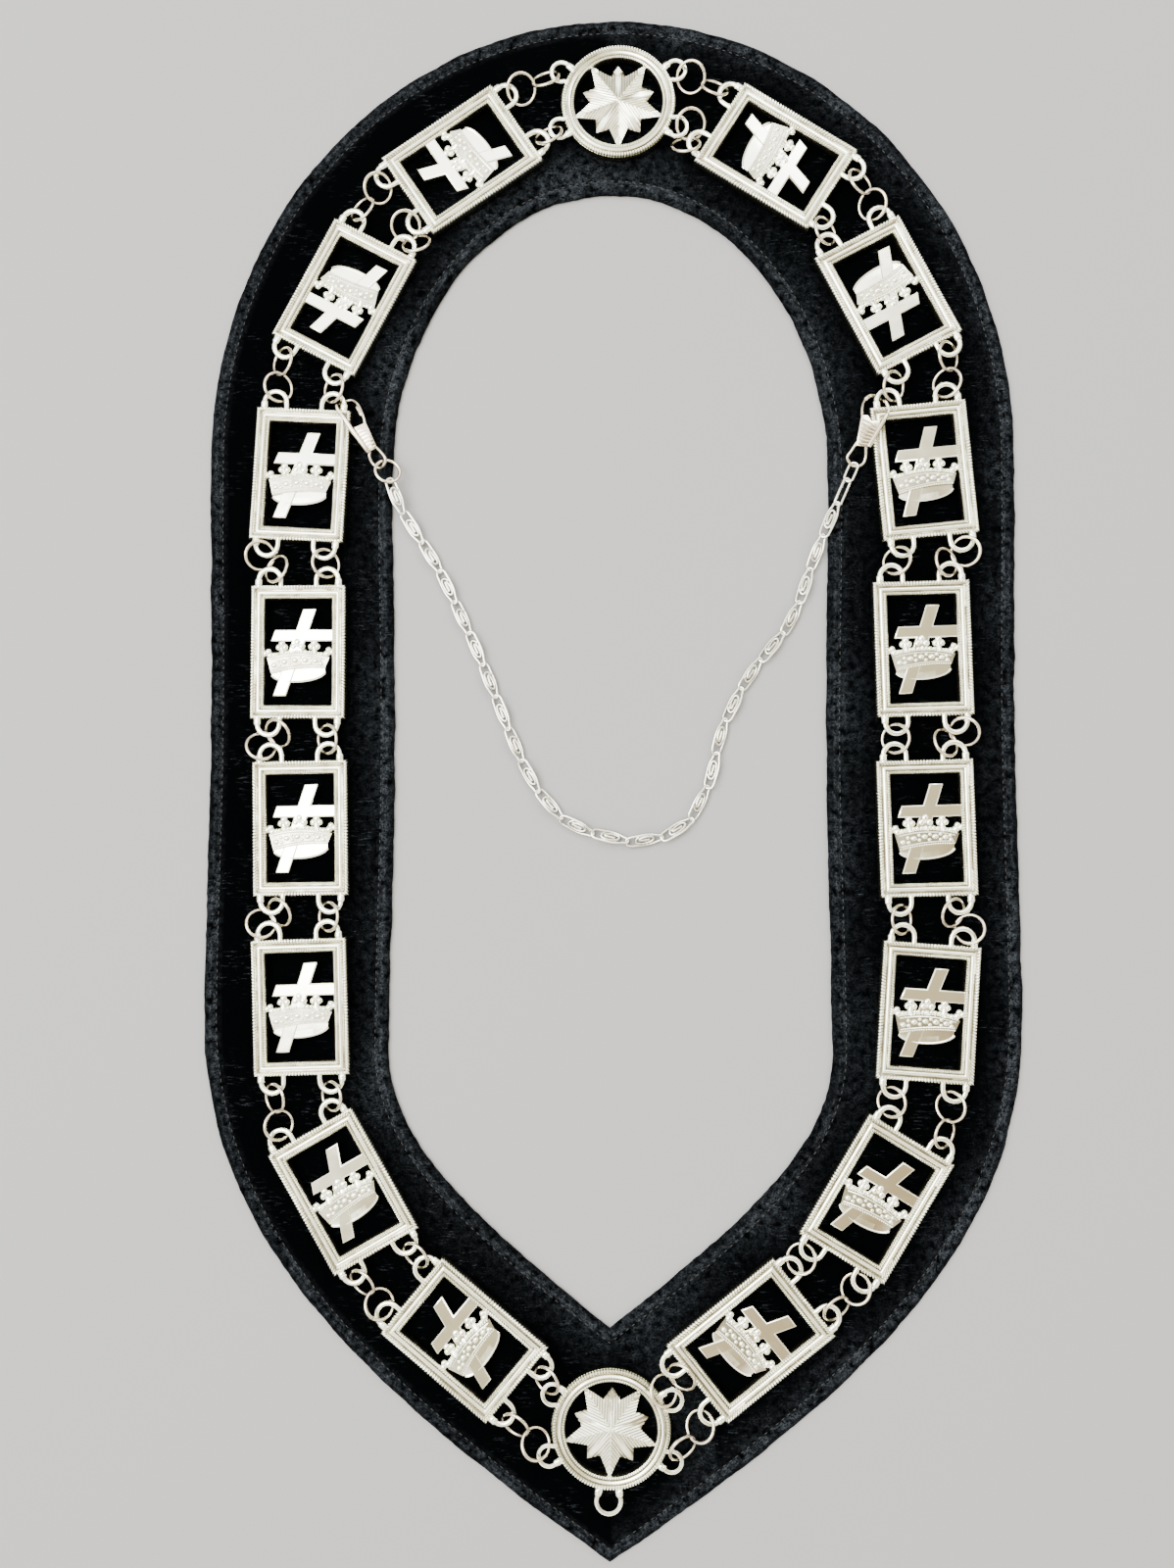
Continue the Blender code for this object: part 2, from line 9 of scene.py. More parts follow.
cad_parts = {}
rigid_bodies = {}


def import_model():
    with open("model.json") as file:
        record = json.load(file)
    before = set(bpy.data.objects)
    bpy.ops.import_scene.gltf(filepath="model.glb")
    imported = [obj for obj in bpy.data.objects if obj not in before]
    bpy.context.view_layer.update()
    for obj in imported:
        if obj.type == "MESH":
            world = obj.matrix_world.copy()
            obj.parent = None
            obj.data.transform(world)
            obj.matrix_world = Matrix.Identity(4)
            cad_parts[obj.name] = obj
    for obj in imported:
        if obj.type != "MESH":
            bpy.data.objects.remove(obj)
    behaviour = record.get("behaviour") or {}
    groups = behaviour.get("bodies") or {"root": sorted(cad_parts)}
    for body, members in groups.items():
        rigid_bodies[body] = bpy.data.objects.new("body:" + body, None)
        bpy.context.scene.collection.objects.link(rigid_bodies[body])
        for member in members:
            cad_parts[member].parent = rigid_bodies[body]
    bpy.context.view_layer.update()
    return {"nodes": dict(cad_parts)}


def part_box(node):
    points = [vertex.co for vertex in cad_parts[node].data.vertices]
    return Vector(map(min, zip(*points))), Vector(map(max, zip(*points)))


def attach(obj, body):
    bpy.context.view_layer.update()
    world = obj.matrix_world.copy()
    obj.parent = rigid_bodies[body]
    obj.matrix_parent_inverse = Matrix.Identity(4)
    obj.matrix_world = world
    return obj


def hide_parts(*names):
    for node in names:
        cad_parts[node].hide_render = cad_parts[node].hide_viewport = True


for old in list(bpy.data.objects):
    bpy.data.objects.remove(old, do_unlink=True)
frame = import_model()
MM = 0.001
UP = Vector((0, 0, 1))
print("frame nodes:", len(frame["nodes"]))

# %% [markdown]
# ## Turning meshes into pieces
# A piece can be many closed shells that touch, as a cast plate is one casting with many details.
# Its place goes into the mesh itself, so that the object stays at the origin and a pattern in a
# material keeps still. Normals are made to point outwards here, once, for every piece. Metal also
# carries a film_and_shade value at each point: how far it is darkened to tan, partly for the
# polishing film left in a groove and partly as painted shade in grooves and hollows.
# %% Pieces
# a face with more corners than this is a flat top with a crisp rim
MANY_CORNERS = 10


def only(kind, geometry):
    """The points, edges or faces among what an operator gives back."""
    return [item for item in geometry if isinstance(item, kind)]


def new_casting():
    bm = bmesh.new()
    # film_and_shade: how far a point is painted tan, for polish residue and as painted shade in
    # hollows
    bm.verts.layers.float.new("film_and_shade")
    return bm


def add_detail(bm, maker, finish=0, film_and_shade=0.0):
    """Runs a maker, and gives what it added a finish and a film_and_shade share, the darkening to
    tan from polish residue and painted shade.
    """
    layer = bm.verts.layers.float["film_and_shade"]
    verts, faces = len(bm.verts), len(bm.faces)
    maker()
    bm.verts.ensure_lookup_table()
    bm.faces.ensure_lookup_table()
    for vert in bm.verts[verts:]:
        vert[layer] = film_and_shade
    for face in bm.faces[faces:]:
        face.material_index = finish


def finished_mesh(name, bm, finishes, sharp_from=50):
    """Edges sharper than sharp_from degrees stay crisp."""
    bmesh.ops.recalc_face_normals(bm, faces=bm.faces)
    mesh = bpy.data.meshes.new(name)
    bm.to_mesh(mesh)
    bm.free()
    for finish in finishes:
        mesh.materials.append(finish)
    mesh.shade_smooth()
    mesh.set_sharp_from_angle(angle=math.radians(sharp_from))
    for face in mesh.polygons:
        if len(face.vertices) > MANY_CORNERS:
            for corner in face.loop_indices:
                mesh.edges[mesh.loops[corner].edge_index].use_edge_sharp = True
    return mesh


def new_object(name, data):
    item = bpy.data.objects.new(name, data)
    bpy.context.scene.collection.objects.link(item)
    return item


def add_piece(name, mesh, nodes):
    piece = new_object(name, mesh)
    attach(piece, "root")
    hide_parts(*nodes)
    return piece


def middle_of(node):
    low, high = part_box(node)
    return (low + high) / 2


def try_out(title, maker, *measures):
    """Runs a maker on its own, and prints how many faces it makes and its size."""
    bm = new_casting()
    maker(bm, *measures)
    size = [(max(line) - min(line)) / MM for line in zip(*[v.co for v in bm.verts])]
    print(title + ":", len(bm.faces), "faces,", " x ".join(f"{s:.1f}" for s in size), "mm")
    bm.free()


spot = middle_of("medallion_bottom") / MM
print("middle of the bottom medallion, mm:", [round(v, 1) for v in spot])

# %% [markdown]
# ## Bars and wires
# Ears, rims, clips and chain links are all a section that runs along a line. The section starts
# as a circle, squashed to the bar's width and depth. It is extruded from point to point, and each
# new ring is turned to face along the line. A closed line joins its last ring to the first.
# Points, widths and radii are given in millimetres from here on, and turns in degrees.
# %% Bars
def spun(degrees, axis="Z"):
    return Matrix.Rotation(math.radians(degrees), 4, axis)


def turned(x_axis, y_axis, z_axis):
    """The matrix that turns X, Y and Z to three directions."""
    return Matrix((x_axis, y_axis, z_axis)).transposed().to_4x4()


def polar(reach, degrees, z=0.0):
    """The point at a reach and a turn round the middle."""
    angle = math.radians(degrees)
    return Vector((reach * math.cos(angle), reach * math.sin(angle), z))


def edges_of(ring):
    return list({edge for vert in ring for edge in vert.link_edges})


def grow_ring(bm, edges):
    """Extrudes a ring of edges, and gives the points and edges of the new ring."""
    grown = bmesh.ops.extrude_edge_only(bm, edges=edges)["geom"]
    ring = only(BMVert, grown)
    fresh = set(ring)
    return ring, [edge for edge in only(BMEdge, grown) if fresh.issuperset(edge.verts)]


def facing(points, i, closed, width, depth):
    """The place, turn and size of a bar's section at one point of its line."""
    count = len(points)
    before = points[i - 1] if closed or i else points[i]
    after = points[(i + 1) % count] if closed or i < count - 1 else points[i]
    forward = (after - before).normalized()
    side = UP.cross(forward).normalized()
    return (Matrix.Translation(points[i] * MM) @ turned(side, forward.cross(side), forward)
            @ Matrix.Diagonal((width / 2 * MM, depth / 2 * MM, 1, 1)))


def add_bar(bm, points, width, depth=None, closed=False, sides=8, taper=None):
    """taper holds the share of the width and depth that the bar has at each point."""
    depth = depth or width
    taper = taper or [1] * len(points)
    places = [facing(points, i, closed, width * taper[i], depth * taper[i])
              for i in range(len(points))]
    ring = bmesh.ops.create_circle(bm, segments=sides, radius=1, matrix=places[0])["verts"]
    first = edges = edges_of(ring)
    for before, after in zip(places, places[1:]):
        ring, edges = grow_ring(bm, edges)
        bmesh.ops.transform(bm, matrix=after @ before.inverted(), verts=ring)
    if closed:
        bmesh.ops.bridge_loops(bm, edges=first + edges)
    else:
        bmesh.ops.edgeloop_fill(bm, edges=first)
        bmesh.ops.edgeloop_fill(bm, edges=edges)


def smooth_line(points, steps):
    """A line through the points, rounded between them, with steps pieces in each stretch."""
    knots = [points[0]] + list(points) + [points[-1]]
    line = []
    for a, b, c, d in zip(knots, knots[1:], knots[2:], knots[3:]):
        for k in range(steps):
            t = k / steps
            line.append(0.5 * (2 * b + (c - a) * t + (2 * a - 5 * b + 4 * c - d) * t * t
                               + (3 * b - 3 * c + d - a) * t ** 3))
    return line + [knots[-1]]


def add_bead(bm, x, y, z, radius, squash=1.0, detail=1, stretch=1.0, turn=0.0):
    """A round bead, or with squash and stretch a flat or a long one, turned about Z."""
    place = (Matrix.Translation((x * MM, y * MM, z * MM)) @ spun(turn)
             @ Matrix.Diagonal((stretch, 1, squash, 1)))
    bmesh.ops.create_icosphere(bm, subdivisions=detail, radius=radius * MM, matrix=place)


try_out("bead of radius 1", add_bead, 0, 0, 0, 1.0)

# %% [markdown]
# ## Metal finishes
# The plates are cast and nickel plated. Their crests are bright, while their grooves and the
# parts near the cloth are painted a dull tan: some polishing film, and painted shade where the
# grooves and the cloth would shade them, so the colour follows the film_and_shade value and the
# height.
# A slow noise varies the shine as handling does, and a fine one gives the skin of a casting.
# Jump rings and clips are drawn wire and pressed sheet, with less film and finer marks.
# %% Metals
def set_inputs(tree, node, **inputs):
    """Links an input to the socket that is given for it, or sets it to the value."""
    for name, value in inputs.items():
        target = node.inputs[name.replace("_", " ")]
        if isinstance(value, bpy.types.NodeSocket):
            tree.links.new(value, target)
        else:
            target.default_value = value


def node_of(tree, kind, **inputs):
    node = tree.nodes.new(kind)
    set_inputs(tree, node, **inputs)
    return node


def new_finish(name):
    """A material, its nodes, its shader, and the place of the point that is shaded."""
    material = bpy.data.materials.new(name)
    material.use_nodes = True
    tree = material.node_tree
    place = tree.nodes.new("ShaderNodeTexCoord").outputs["Object"]
    return material, tree, tree.nodes["Principled BSDF"], place


def attribute_of(tree, name):
    node = tree.nodes.new("ShaderNodeAttribute")
    node.attribute_name = name
    return node.outputs["Fac"]


def ramp_of(tree, source, stops):
    ramp = node_of(tree, "ShaderNodeValToRGB", Fac=source)
    while len(ramp.color_ramp.elements) < len(stops):
        ramp.color_ramp.elements.new(0.5)
    for element, (position, colour) in zip(ramp.color_ramp.elements, stops):
        element.position = position
        element.color = (*colour, 1)
    return ramp.outputs["Color"]


def joined(tree, operation, first, second):
    """The sum or product of two values, kept between 0 and 1."""
    node = tree.nodes.new("ShaderNodeMath")
    node.operation = operation
    node.use_clamp = True
    tree.links.new(first, node.inputs[0])
    tree.links.new(second, node.inputs[1])
    return node.outputs["Value"]


def metal(name, bright, shaded_tan, low, high, smooth, rough, grain, marks):
    """shaded_tan shows below the height low, as painted shade near the cloth, and where the
    film_and_shade value is high; bright shows above high, and smooth to rough is the shine's
    range. grain is how many skin marks go in a metre, and marks is how deep they are."""
    material, tree, shader, place = new_finish(name)
    height = node_of(tree, "ShaderNodeSeparateXYZ", Vector=place).outputs["Z"]
    # painted shade: darker towards the bottom, near the cloth
    depth = node_of(tree, "ShaderNodeMapRange", Value=height, From_Min=high * MM,
                    From_Max=low * MM)
    clouds = node_of(tree, "ShaderNodeTexNoise", Vector=place, Scale=260, Detail=4)
    film_and_painted_shade = joined(tree, "ADD", attribute_of(tree, "film_and_shade"), depth.outputs["Result"])
    patchy = joined(tree, "MULTIPLY", film_and_painted_shade,
                    ramp_of(tree, clouds.outputs["Fac"], [(0.3, (0.6,) * 3), (0.65, (1,) * 3)]))
    shine = node_of(tree, "ShaderNodeMapRange", Value=clouds.outputs["Fac"], From_Min=0.3,
                    From_Max=0.7, To_Min=smooth, To_Max=rough)
    skin = node_of(tree, "ShaderNodeTexNoise", Vector=place, Scale=grain, Detail=3)
    bump = node_of(tree, "ShaderNodeBump", Height=skin.outputs["Fac"], Strength=0.3,
                   Distance=marks * MM)
    set_inputs(tree, shader, Metallic=1.0, Roughness=shine.outputs["Result"],
               Base_Color=ramp_of(tree, patchy, [(0, bright), (1, shaded_tan)]),
               Normal=bump.outputs["Normal"])
    return material


# below the third number, in millimetres, each metal is painted its tan as painted shade near the
# cloth and floor, fading out by the fourth
CAST = metal("cast_nickel", (0.93, 0.945, 0.80), (0.17, 0.135, 0.075), 3.4, 5.2,
             0.17, 0.30, 2300, 0.05)
POLISHED = metal("polished_nickel", (0.93, 0.92, 0.80), (0.24, 0.20, 0.13), 3.4, 4.6,
                 0.09, 0.17, 1100, 0.012)
WIRE = metal("drawn_wire", (0.62, 0.555, 0.44), (0.10, 0.075, 0.04), 1.8, 4.0,
             0.10, 0.20, 1800, 0.012)
CHAIN = metal("chain_silver", (0.72, 0.71, 0.63), (0.06, 0.052, 0.035), 0.2, 2.0,
              0.10, 0.20, 2200, 0.02)
print("metals:", CAST.name, POLISHED.name, WIRE.name, CHAIN.name)

# %% [markdown]
# ## The ribbed border
# Plates and medallions share one moulding. From the outside it is a coin-like ribbed crest, a
# groove, a smooth band, a second groove and a row of beads at the window. One closed section is
# extruded round the frame, three steps to a rib, and every third ring of it is drawn in and down
# where the section is ribbed. Corners are mitred because a point's way along shrinks by its inset.
# %% Border
# inset and height of each point, how far a rib's notch is drawn in and down there, and the
# film_and_shade share: polishing film and painted shade, most in the grooves and at the foot
BORDER_SECTION = [
    (0.15, 0.0, 0.0, 0.0, 1.0), (0.0, 2.2, 0.3, 0.0, 0.5), (0.12, 2.85, 0.3, 0.15, 0.1),
    (0.5, 3.25, 0.1, 0.42, 0.0), (1.0, 3.3, 0.0, 0.45, 0.0), (1.4, 3.0, 0.0, 0.25, 0.3),
    (1.65, 2.4, 0.0, 0.0, 1.0), (1.95, 2.35, 0.0, 0.0, 0.9), (2.2, 2.85, 0.0, 0.0, 0.2),
    (2.7, 3.15, 0.0, 0.0, 0.0), (3.15, 3.0, 0.0, 0.0, 0.1), (3.45, 2.4, 0.0, 0.0, 1.0),
    (3.75, 2.8, 0.0, 0.15, 0.3), (4.1, 2.98, 0.0, 0.4, 0.0), (4.5, 2.75, 0.15, 0.3, 0.1),
    (4.7, 2.0, 0.1, 0.0, 0.6), (4.7, 0.0, 0.0, 0.0, 1.0),
]
# the steps of one rib: how far along it, and 1 at its notch
RIB_STEPS = ((0.0, 0), (0.42, 0), (0.71, 1))
# the notches between ribs are painted dark tan: painted shade, with some polishing film
NOTCH_FILM_AND_SHADE = 0.95
RIB, FINE_RIB = 1.05, 0.96
PLATE_WIDTH, PLATE_LENGTH, MEDALLION_RADIUS = 31.75, 44.7, 19.05


def add_border(bm, outline, narrow=1.0):
    """outline holds each step's place, as a function of the inset, and 1 if it is a notch."""
    film_and_shade = bm.verts.layers.float["film_and_shade"]

    def set_ring(ring, step):
        place, notch = outline[step]
        for vert, (inset, height, draw, drop, shaded_tan) in zip(ring, BORDER_SECTION):
            spot = place((inset + notch * draw) * narrow)
            vert.co = Vector((spot.x, spot.y, height - notch * drop)) * MM
            vert[film_and_shade] = max(shaded_tan, NOTCH_FILM_AND_SHADE * notch * (drop > 0 or draw > 0))

    order = bmesh.ops.create_circle(bm, segments=len(BORDER_SECTION), radius=1)["verts"]
    set_ring(order, 0)
    first = edges = edges_of(order)
    for step in range(1, len(outline)):
        ring, edges = grow_ring(bm, edges)
        fresh = set(ring)
        order = [next(e.other_vert(v) for e in v.link_edges if e.other_vert(v) in fresh)
                 for v in order]
        set_ring(order, step)
    bmesh.ops.bridge_loops(bm, edges=first + edges)


def rectangle_outline(width, length):
    """Steps round a rectangle, from corner to corner of each side."""
    places = []
    for side in range(4):
        along, across = ((length, width), (width, length))[side % 2]
        turn = Matrix.Rotation(math.radians(90 * side), 2)
        ribs = round(along / RIB)
        for rib in range(ribs):
            for step, notch in RIB_STEPS:
                def place(inset, way=(rib + step) / ribs, turn=turn, along=along, across=across):
                    return turn @ Vector((across / 2 - inset,
                                          (2 * way - 1) * (along / 2 - inset)))
                places.append((place, notch))
    return places


def circle_outline(radius):
    """Steps round a circle."""
    ribs = round(math.tau * radius / FINE_RIB)
    return [(lambda inset, turn=360 * (rib + step) / ribs: polar(radius - inset, turn), notch)
            for rib in range(ribs) for step, notch in RIB_STEPS]


print("steps:", len(rectangle_outline(PLATE_WIDTH, PLATE_LENGTH)),
      len(circle_outline(MEDALLION_RADIUS)))

# %% [markdown]
# ## Slabs
# The flat and domed parts of a casting are slabs: a top, and sides that go straight down to the
# foot. A flat one starts as a single face, a curved one as a grid whose points are moved to
# their places. Extruding the face and setting the copy's height makes the sides.
# %% Slabs
def drop_to_foot(bm, faces, foot):
    for vert in only(BMVert, bmesh.ops.extrude_face_region(bm, geom=faces)["geom"]):
        vert.co.z = foot * MM


def add_face(bm, outline, height):
    return bm.faces.new([bm.verts.new((x * MM, y * MM, height * MM)) for x, y in outline])


def soften(bm, rim, width):
    bmesh.ops.bevel(bm, geom=rim, offset=width * MM, offset_type="OFFSET", affect="EDGES",
                    segments=2, profile=0.5, material=-1, clamp_overlap=True)


def add_flat_slab(bm, outline, top, foot, bevel=0.4):
    face = add_face(bm, outline, top)
    rim = list(face.edges)
    drop_to_foot(bm, [face], foot)
    soften(bm, rim, bevel)


def add_curved_slab(bm, columns, rows, place, foot):
    """place turns across (-1 to 1) and up (0 to 1) into a point in millimetres."""
    grid = bmesh.ops.create_grid(bm, x_segments=columns, y_segments=rows, size=1)["verts"]
    faces = list({f for v in grid for f in v.link_faces})
    for vert in grid:
        vert.co = Vector(place(vert.co.x, (vert.co.y + 1) / 2)) * MM
    drop_to_foot(bm, faces, foot)


try_out("slab", add_flat_slab, [(0, 0), (4, 0), (4, 3), (0, 3)], 2, 0)

# %% [markdown]
# ## Cross and crown
# The emblem in each window is a flat polished cross that leans, with a crown round its shaft.
# The crown's front is a domed band, and below it a plain polished lip curves round. The cross is
# an outline. Band and lip are sheets between curved lines, and each line has its function.
# %% Cross and crown
FOOT = 0.5
CROSS = [(1.4, 14.4), (6.0, 14.4), (3.6, 7.5), (11.7, 7.5), (11.7, 3.5), (2.3, 3.5),
         (-4.0, -14.7), (-8.5, -14.7), (-2.2, 3.5), (-9.3, 3.5), (-7.9, 7.5), (-0.9, 7.5)]
CROSS_TOP = 2.4
WALL_TOP, WALL_DOME = 2.35, 0.55
CROWN_HALF, CROWN_FLARE = 8.95, 1.4


def crown_top_line(x):
    """How high up the window the crown's top line runs, as the next two do for lower lines."""
    return -0.3 - 1.4 * (x / 9.6) ** 2


def crown_low_line(x):
    return -5.6 + 0.1 * x - 0.7 * (x / 9.0) ** 2


def lip_line(x):
    return -7.0 + 0.05 * x - 3.0 * math.sqrt(max(0.0, 1 - (x / CROWN_HALF) ** 2))


def wall_height(x):
    return WALL_TOP + WALL_DOME * (1 - min(1, abs(x) / 9.8) ** 2)


def crown_front(across, up):
    x = across * (CROWN_HALF + CROWN_FLARE * up)
    low, high = crown_low_line(x), crown_top_line(x)
    return x, low + (high - low) * up, wall_height(x)


def crown_lip(across, up):
    x = across * 8.8
    low, high = lip_line(x), crown_low_line(x) + 0.2
    return x, low + (high - low) * up, 1.7 + 0.4 * (1 - across ** 2)


def add_lip(bm):
    add_curved_slab(bm, 18, 2, crown_lip, FOOT)
    rim = [Vector((x, lip_line(x) + 0.12, 1.85 + 0.35 * (1 - (x / 8.9) ** 2)))
           for x in [8.85 * math.sin(math.pi * (k / 16 - 0.5)) for k in range(17)]]
    add_bar(bm, rim, 0.62, sides=6)


try_out("lip", add_lip)

# %% [markdown]
# ## Stones and trefoils
# The crown's front carries stones between two beaded lines. Three trefoils stand between band
# and crossbar, and a half lily at each side ties the crown to the border. Everything is relief
# on one casting, so flattened beads and bars simply run into each other.
# %% Stones and trefoils
# across, up and size of the trefoils, then across and radius of the knobs between them
TREFOILS = [(-5.6, 1.8, 0.95), (-0.3, 2.1, 1.15), (5.2, 2.0, 0.95)]
RIM_KNOBS = [(-8.1, 0.95), (-7.2, 0.7), (-4.1, 0.75), (-3.0, 0.85), (-1.6, 0.9), (1.0, 0.9),
             (2.3, 0.85), (3.6, 0.75), (6.6, 0.7), (7.6, 0.95)]
# the side that each half lily is on, and how far it is raised
LILIES = [(-1, -0.2), (1, 0.3)]
# across, up and radius of the lobes of a trefoil and of a half lily
TREFOIL_LOBES = [(-1.1, -0.2, 1.2), (1.1, -0.2, 1.2), (0, 1.1, 1.3)]
LILY_LOBES = [(9.4, -0.9, 1.3), (10.0, 0.4, 1.1), (11.1, -0.3, 1.15)]
# across, height in the band, length and width of each stone
STONES = [(-7.9, -0.4, 1.2, 1.1), (-6.3, 0.7, 0.8, 0.8), (-6.1, -0.9, 0.9, 0.8),
          (-4.4, 0.1, 1.35, 1.1), (-2.7, 0.9, 0.75, 0.7), (-2.6, -0.7, 0.8, 0.8),
          (-0.9, 0.2, 1.3, 1.05), (0.6, -0.9, 0.8, 0.7), (0.8, 0.9, 0.75, 0.7),
          (2.5, 0.1, 1.4, 1.1), (4.2, -0.8, 0.8, 0.7), (4.2, 0.9, 0.8, 0.7),
          (5.8, 0.0, 1.3, 1.05), (7.4, 0.7, 0.8, 0.8), (7.6, -0.7, 1.0, 0.9)]


def add_crown_beads(bm, line, radius, half=9.4):
    count = round(2 * half / (radius * 2.05))
    for k in range(count + 1):
        x = -half + 2 * half * k / count
        add_bead(bm, x, line(x), wall_height(x), radius)


def add_crown_bar(bm, line, width, half=9.0):
    steps = [half * (k / 6 - 1) for k in range(13)]
    points = [Vector((x, line(x), wall_height(x))) for x in steps]
    add_bar(bm, points, width, sides=6)


def add_trefoil(bm, x, y, size):
    for across, up, radius in TREFOIL_LOBES:
        add_bead(bm, x + across * size, y + up * size, 1.7, radius * size, 0.72, 2)
    add_bead(bm, x, y, 2.3, 0.5 * size)
    stem = [Vector((x, y + 0.3, 1.8)), Vector((x, y - 1.2, 1.7)),
            Vector((x, crown_top_line(x) - 0.5, 1.8))]
    add_bar(bm, stem, 2.2 * size, 1.6, taper=[1, 0.8, 1.7])


def add_crown(bm):
    # the crown's band, sunk between its beads and stones, is darkened to tan: polishing film and
    # painted shade
    add_detail(bm, lambda: add_curved_slab(bm, 18, 4, crown_front, FOOT + 0.1), film_and_shade=0.8)
    add_crown_beads(bm, lambda x: crown_top_line(x) - 0.15, 0.4)
    add_crown_bar(bm, lambda x: crown_top_line(x) - 1.0, 0.42)
    add_crown_bar(bm, lambda x: crown_low_line(x) + 0.95, 0.42, 8.6)
    add_crown_beads(bm, lambda x: crown_low_line(x) + 0.25, 0.36, 8.6)
    for x, up, length, width in STONES:
        y = (crown_top_line(x) + crown_low_line(x)) / 2 + up
        add_bead(bm, x, y, wall_height(x) - 0.05, width * 0.82, 0.62, 2, length / width)
    for x, size in RIM_KNOBS:
        add_bead(bm, x, crown_top_line(x) + 0.35, 1.8, size, 0.9, 2)
    for trefoil in TREFOILS:
        add_trefoil(bm, *trefoil)
    for side, rise in LILIES:
        for x, y, radius in LILY_LOBES:
            add_bead(bm, side * x, y + rise, 1.75, radius, 0.78, 2)


try_out("crown", add_crown)

# %% [markdown]
# ## Ears
# Each short side of a plate has two cast half loops for the jump rings. The bar is oval, and at
# the outer foot the founder left a lump where the loop meets the border. A short row of points
# up one leg, round a half circle and down the other makes the loop's line.
# %% Ears
EAR_OFFSET, EAR_HALF, EAR_REACH, EAR_LEVEL = 9.6, 3.7, 5.3, 2.65
EAR_BAR, EAR_DEPTH, EAR_ROOT = 1.75, 1.3, 0.7
LUMP = 1.3


def half_loop(x, y, outward):
    """The line of a half loop that stands out of a straight edge."""
    legs = EAR_REACH - EAR_HALF
    line = [polar(EAR_HALF, 18 * k) + Vector((0, legs, 0)) for k in range(11)]
    line = [Vector((EAR_HALF, -EAR_ROOT, 0)), *line, Vector((-EAR_HALF, -EAR_ROOT, 0))]
    return [Vector((x + point.x, y + outward * point.y, EAR_LEVEL)) for point in line]


def add_ear(bm, x, y, outward):
    add_bar(bm, half_loop(x, y, outward), EAR_BAR, EAR_DEPTH, sides=10)
    for along in (0.5, 1.2):
        add_bead(bm, x + math.copysign(EAR_HALF, x), y + outward * along, EAR_LEVEL, LUMP, 0.65, 2)


try_out("ear", add_ear, EAR_OFFSET, 0, 1)

# %% [markdown]
# ## The sixteen plates
# One plate is modelled in its own axes, with the head of the cross along +Y. Cross and lip get
# the polished finish, all else the cast one. The plate is then copied to each plate node: the
# node's box gives the middle, and the table the turn, because a collar is laid out by turning
# its plates to follow the band.
# %% Plates
# degrees that each plate or medallion is turned by
TURNS = {
    "plate_left_1": 124, "plate_left_2": 152, "plate_left_3": -3, "plate_left_4": 0,
    "plate_left_5": 1, "plate_left_6": 2, "plate_left_7": 30, "plate_left_8": 50.5,
    "plate_right_1": -122.5, "plate_right_2": -152.5, "plate_right_3": 5.2,
    "plate_right_4": 1.5, "plate_right_5": 1.5, "plate_right_6": -4, "plate_right_7": -31,
    "plate_right_8": -51, "medallion_top": 0, "medallion_bottom": -2,
}
METAL_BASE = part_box("plate_left_4")[0].z


def plate_pattern():
    bm = new_casting()
    add_border(bm, rectangle_outline(PLATE_WIDTH, PLATE_LENGTH))
    for x in (-EAR_OFFSET, EAR_OFFSET):
        for outward in (1, -1):
            add_ear(bm, x, outward * PLATE_LENGTH / 2, outward)
    add_crown(bm)
    add_detail(bm, lambda: add_flat_slab(bm, CROSS, CROSS_TOP, FOOT), 1)
    add_detail(bm, lambda: add_lip(bm), 1)
    return finished_mesh("plate_pattern", bm, [CAST, POLISHED])


def place_of(node):
    middle = middle_of(node)
    if node == "medallion_bottom":
        middle.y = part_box(node)[1].y - MEDALLION_RADIUS * MM
    return Matrix.Translation((middle.x, middle.y, METAL_BASE)) @ spun(TURNS[node])


plate = plate_pattern()
for node in [name for name in TURNS if name.startswith("plate")]:
    copy = plate.copy()
    copy.name = node + "_cast"
    copy.transform(place_of(node))
    add_piece(node + "_cast", copy, [node])
print("plate:", len(plate.polygons), "faces")
bpy.data.meshes.remove(plate)

# %% [markdown]
# ## The star's grooved face
# The star has five long points and five short ones between them. Its face is cut with grooves
# that run parallel inside each sector, so they meet in chevrons at the ridges. One sector is a
# fan of four triangles. Parallel cuts divide it, and every other cut is lowered and darkened
# with polishing film and painted shade. The short point is cut free of the long ones, sunk a
# little and darkened with painted shade, so that it stands apart from the long points. Four
# turned copies complete the face.
# %% Star face
LONG_TIP, LONG_TIP_TOP = 15.6, 1.7
# the lowest long point's direction, and the turn from one long point to the next
LOWEST, FIFTH = -90, 72
# turn from the long point, distance from the middle, height
SECTOR = [(0, LONG_TIP, LONG_TIP_TOP), (19, 9.4, 1.95), (FIFTH / 2, 12.4, 1.65), (53, 9.4, 1.95),
          (FIFTH, LONG_TIP, LONG_TIP_TOP)]
STAR_TOP = 3.2
GROOVE, GROOVE_CUTS, GROOVE_DEPTH, GROOVE_FILM_AND_SHADE = 0.42, 22, 0.26, 1.0
SMOOTH_TIP = 11.2
# where two long points meet, and how much painted shade darkens the short points between them,
# and how much lower they are
WAIST, SHORT_POINT_SHADE, SHORT_DROP = 7.43, 0.8, 0.35


def long_point_reach(turn):
    """How far the long points reach at a turn, in radians, from the nearest one."""
    half = math.radians(FIFTH / 2)
    return (LONG_TIP * WAIST * math.sin(half)
            / (LONG_TIP * math.sin(turn) + WAIST * math.sin(half - turn)))


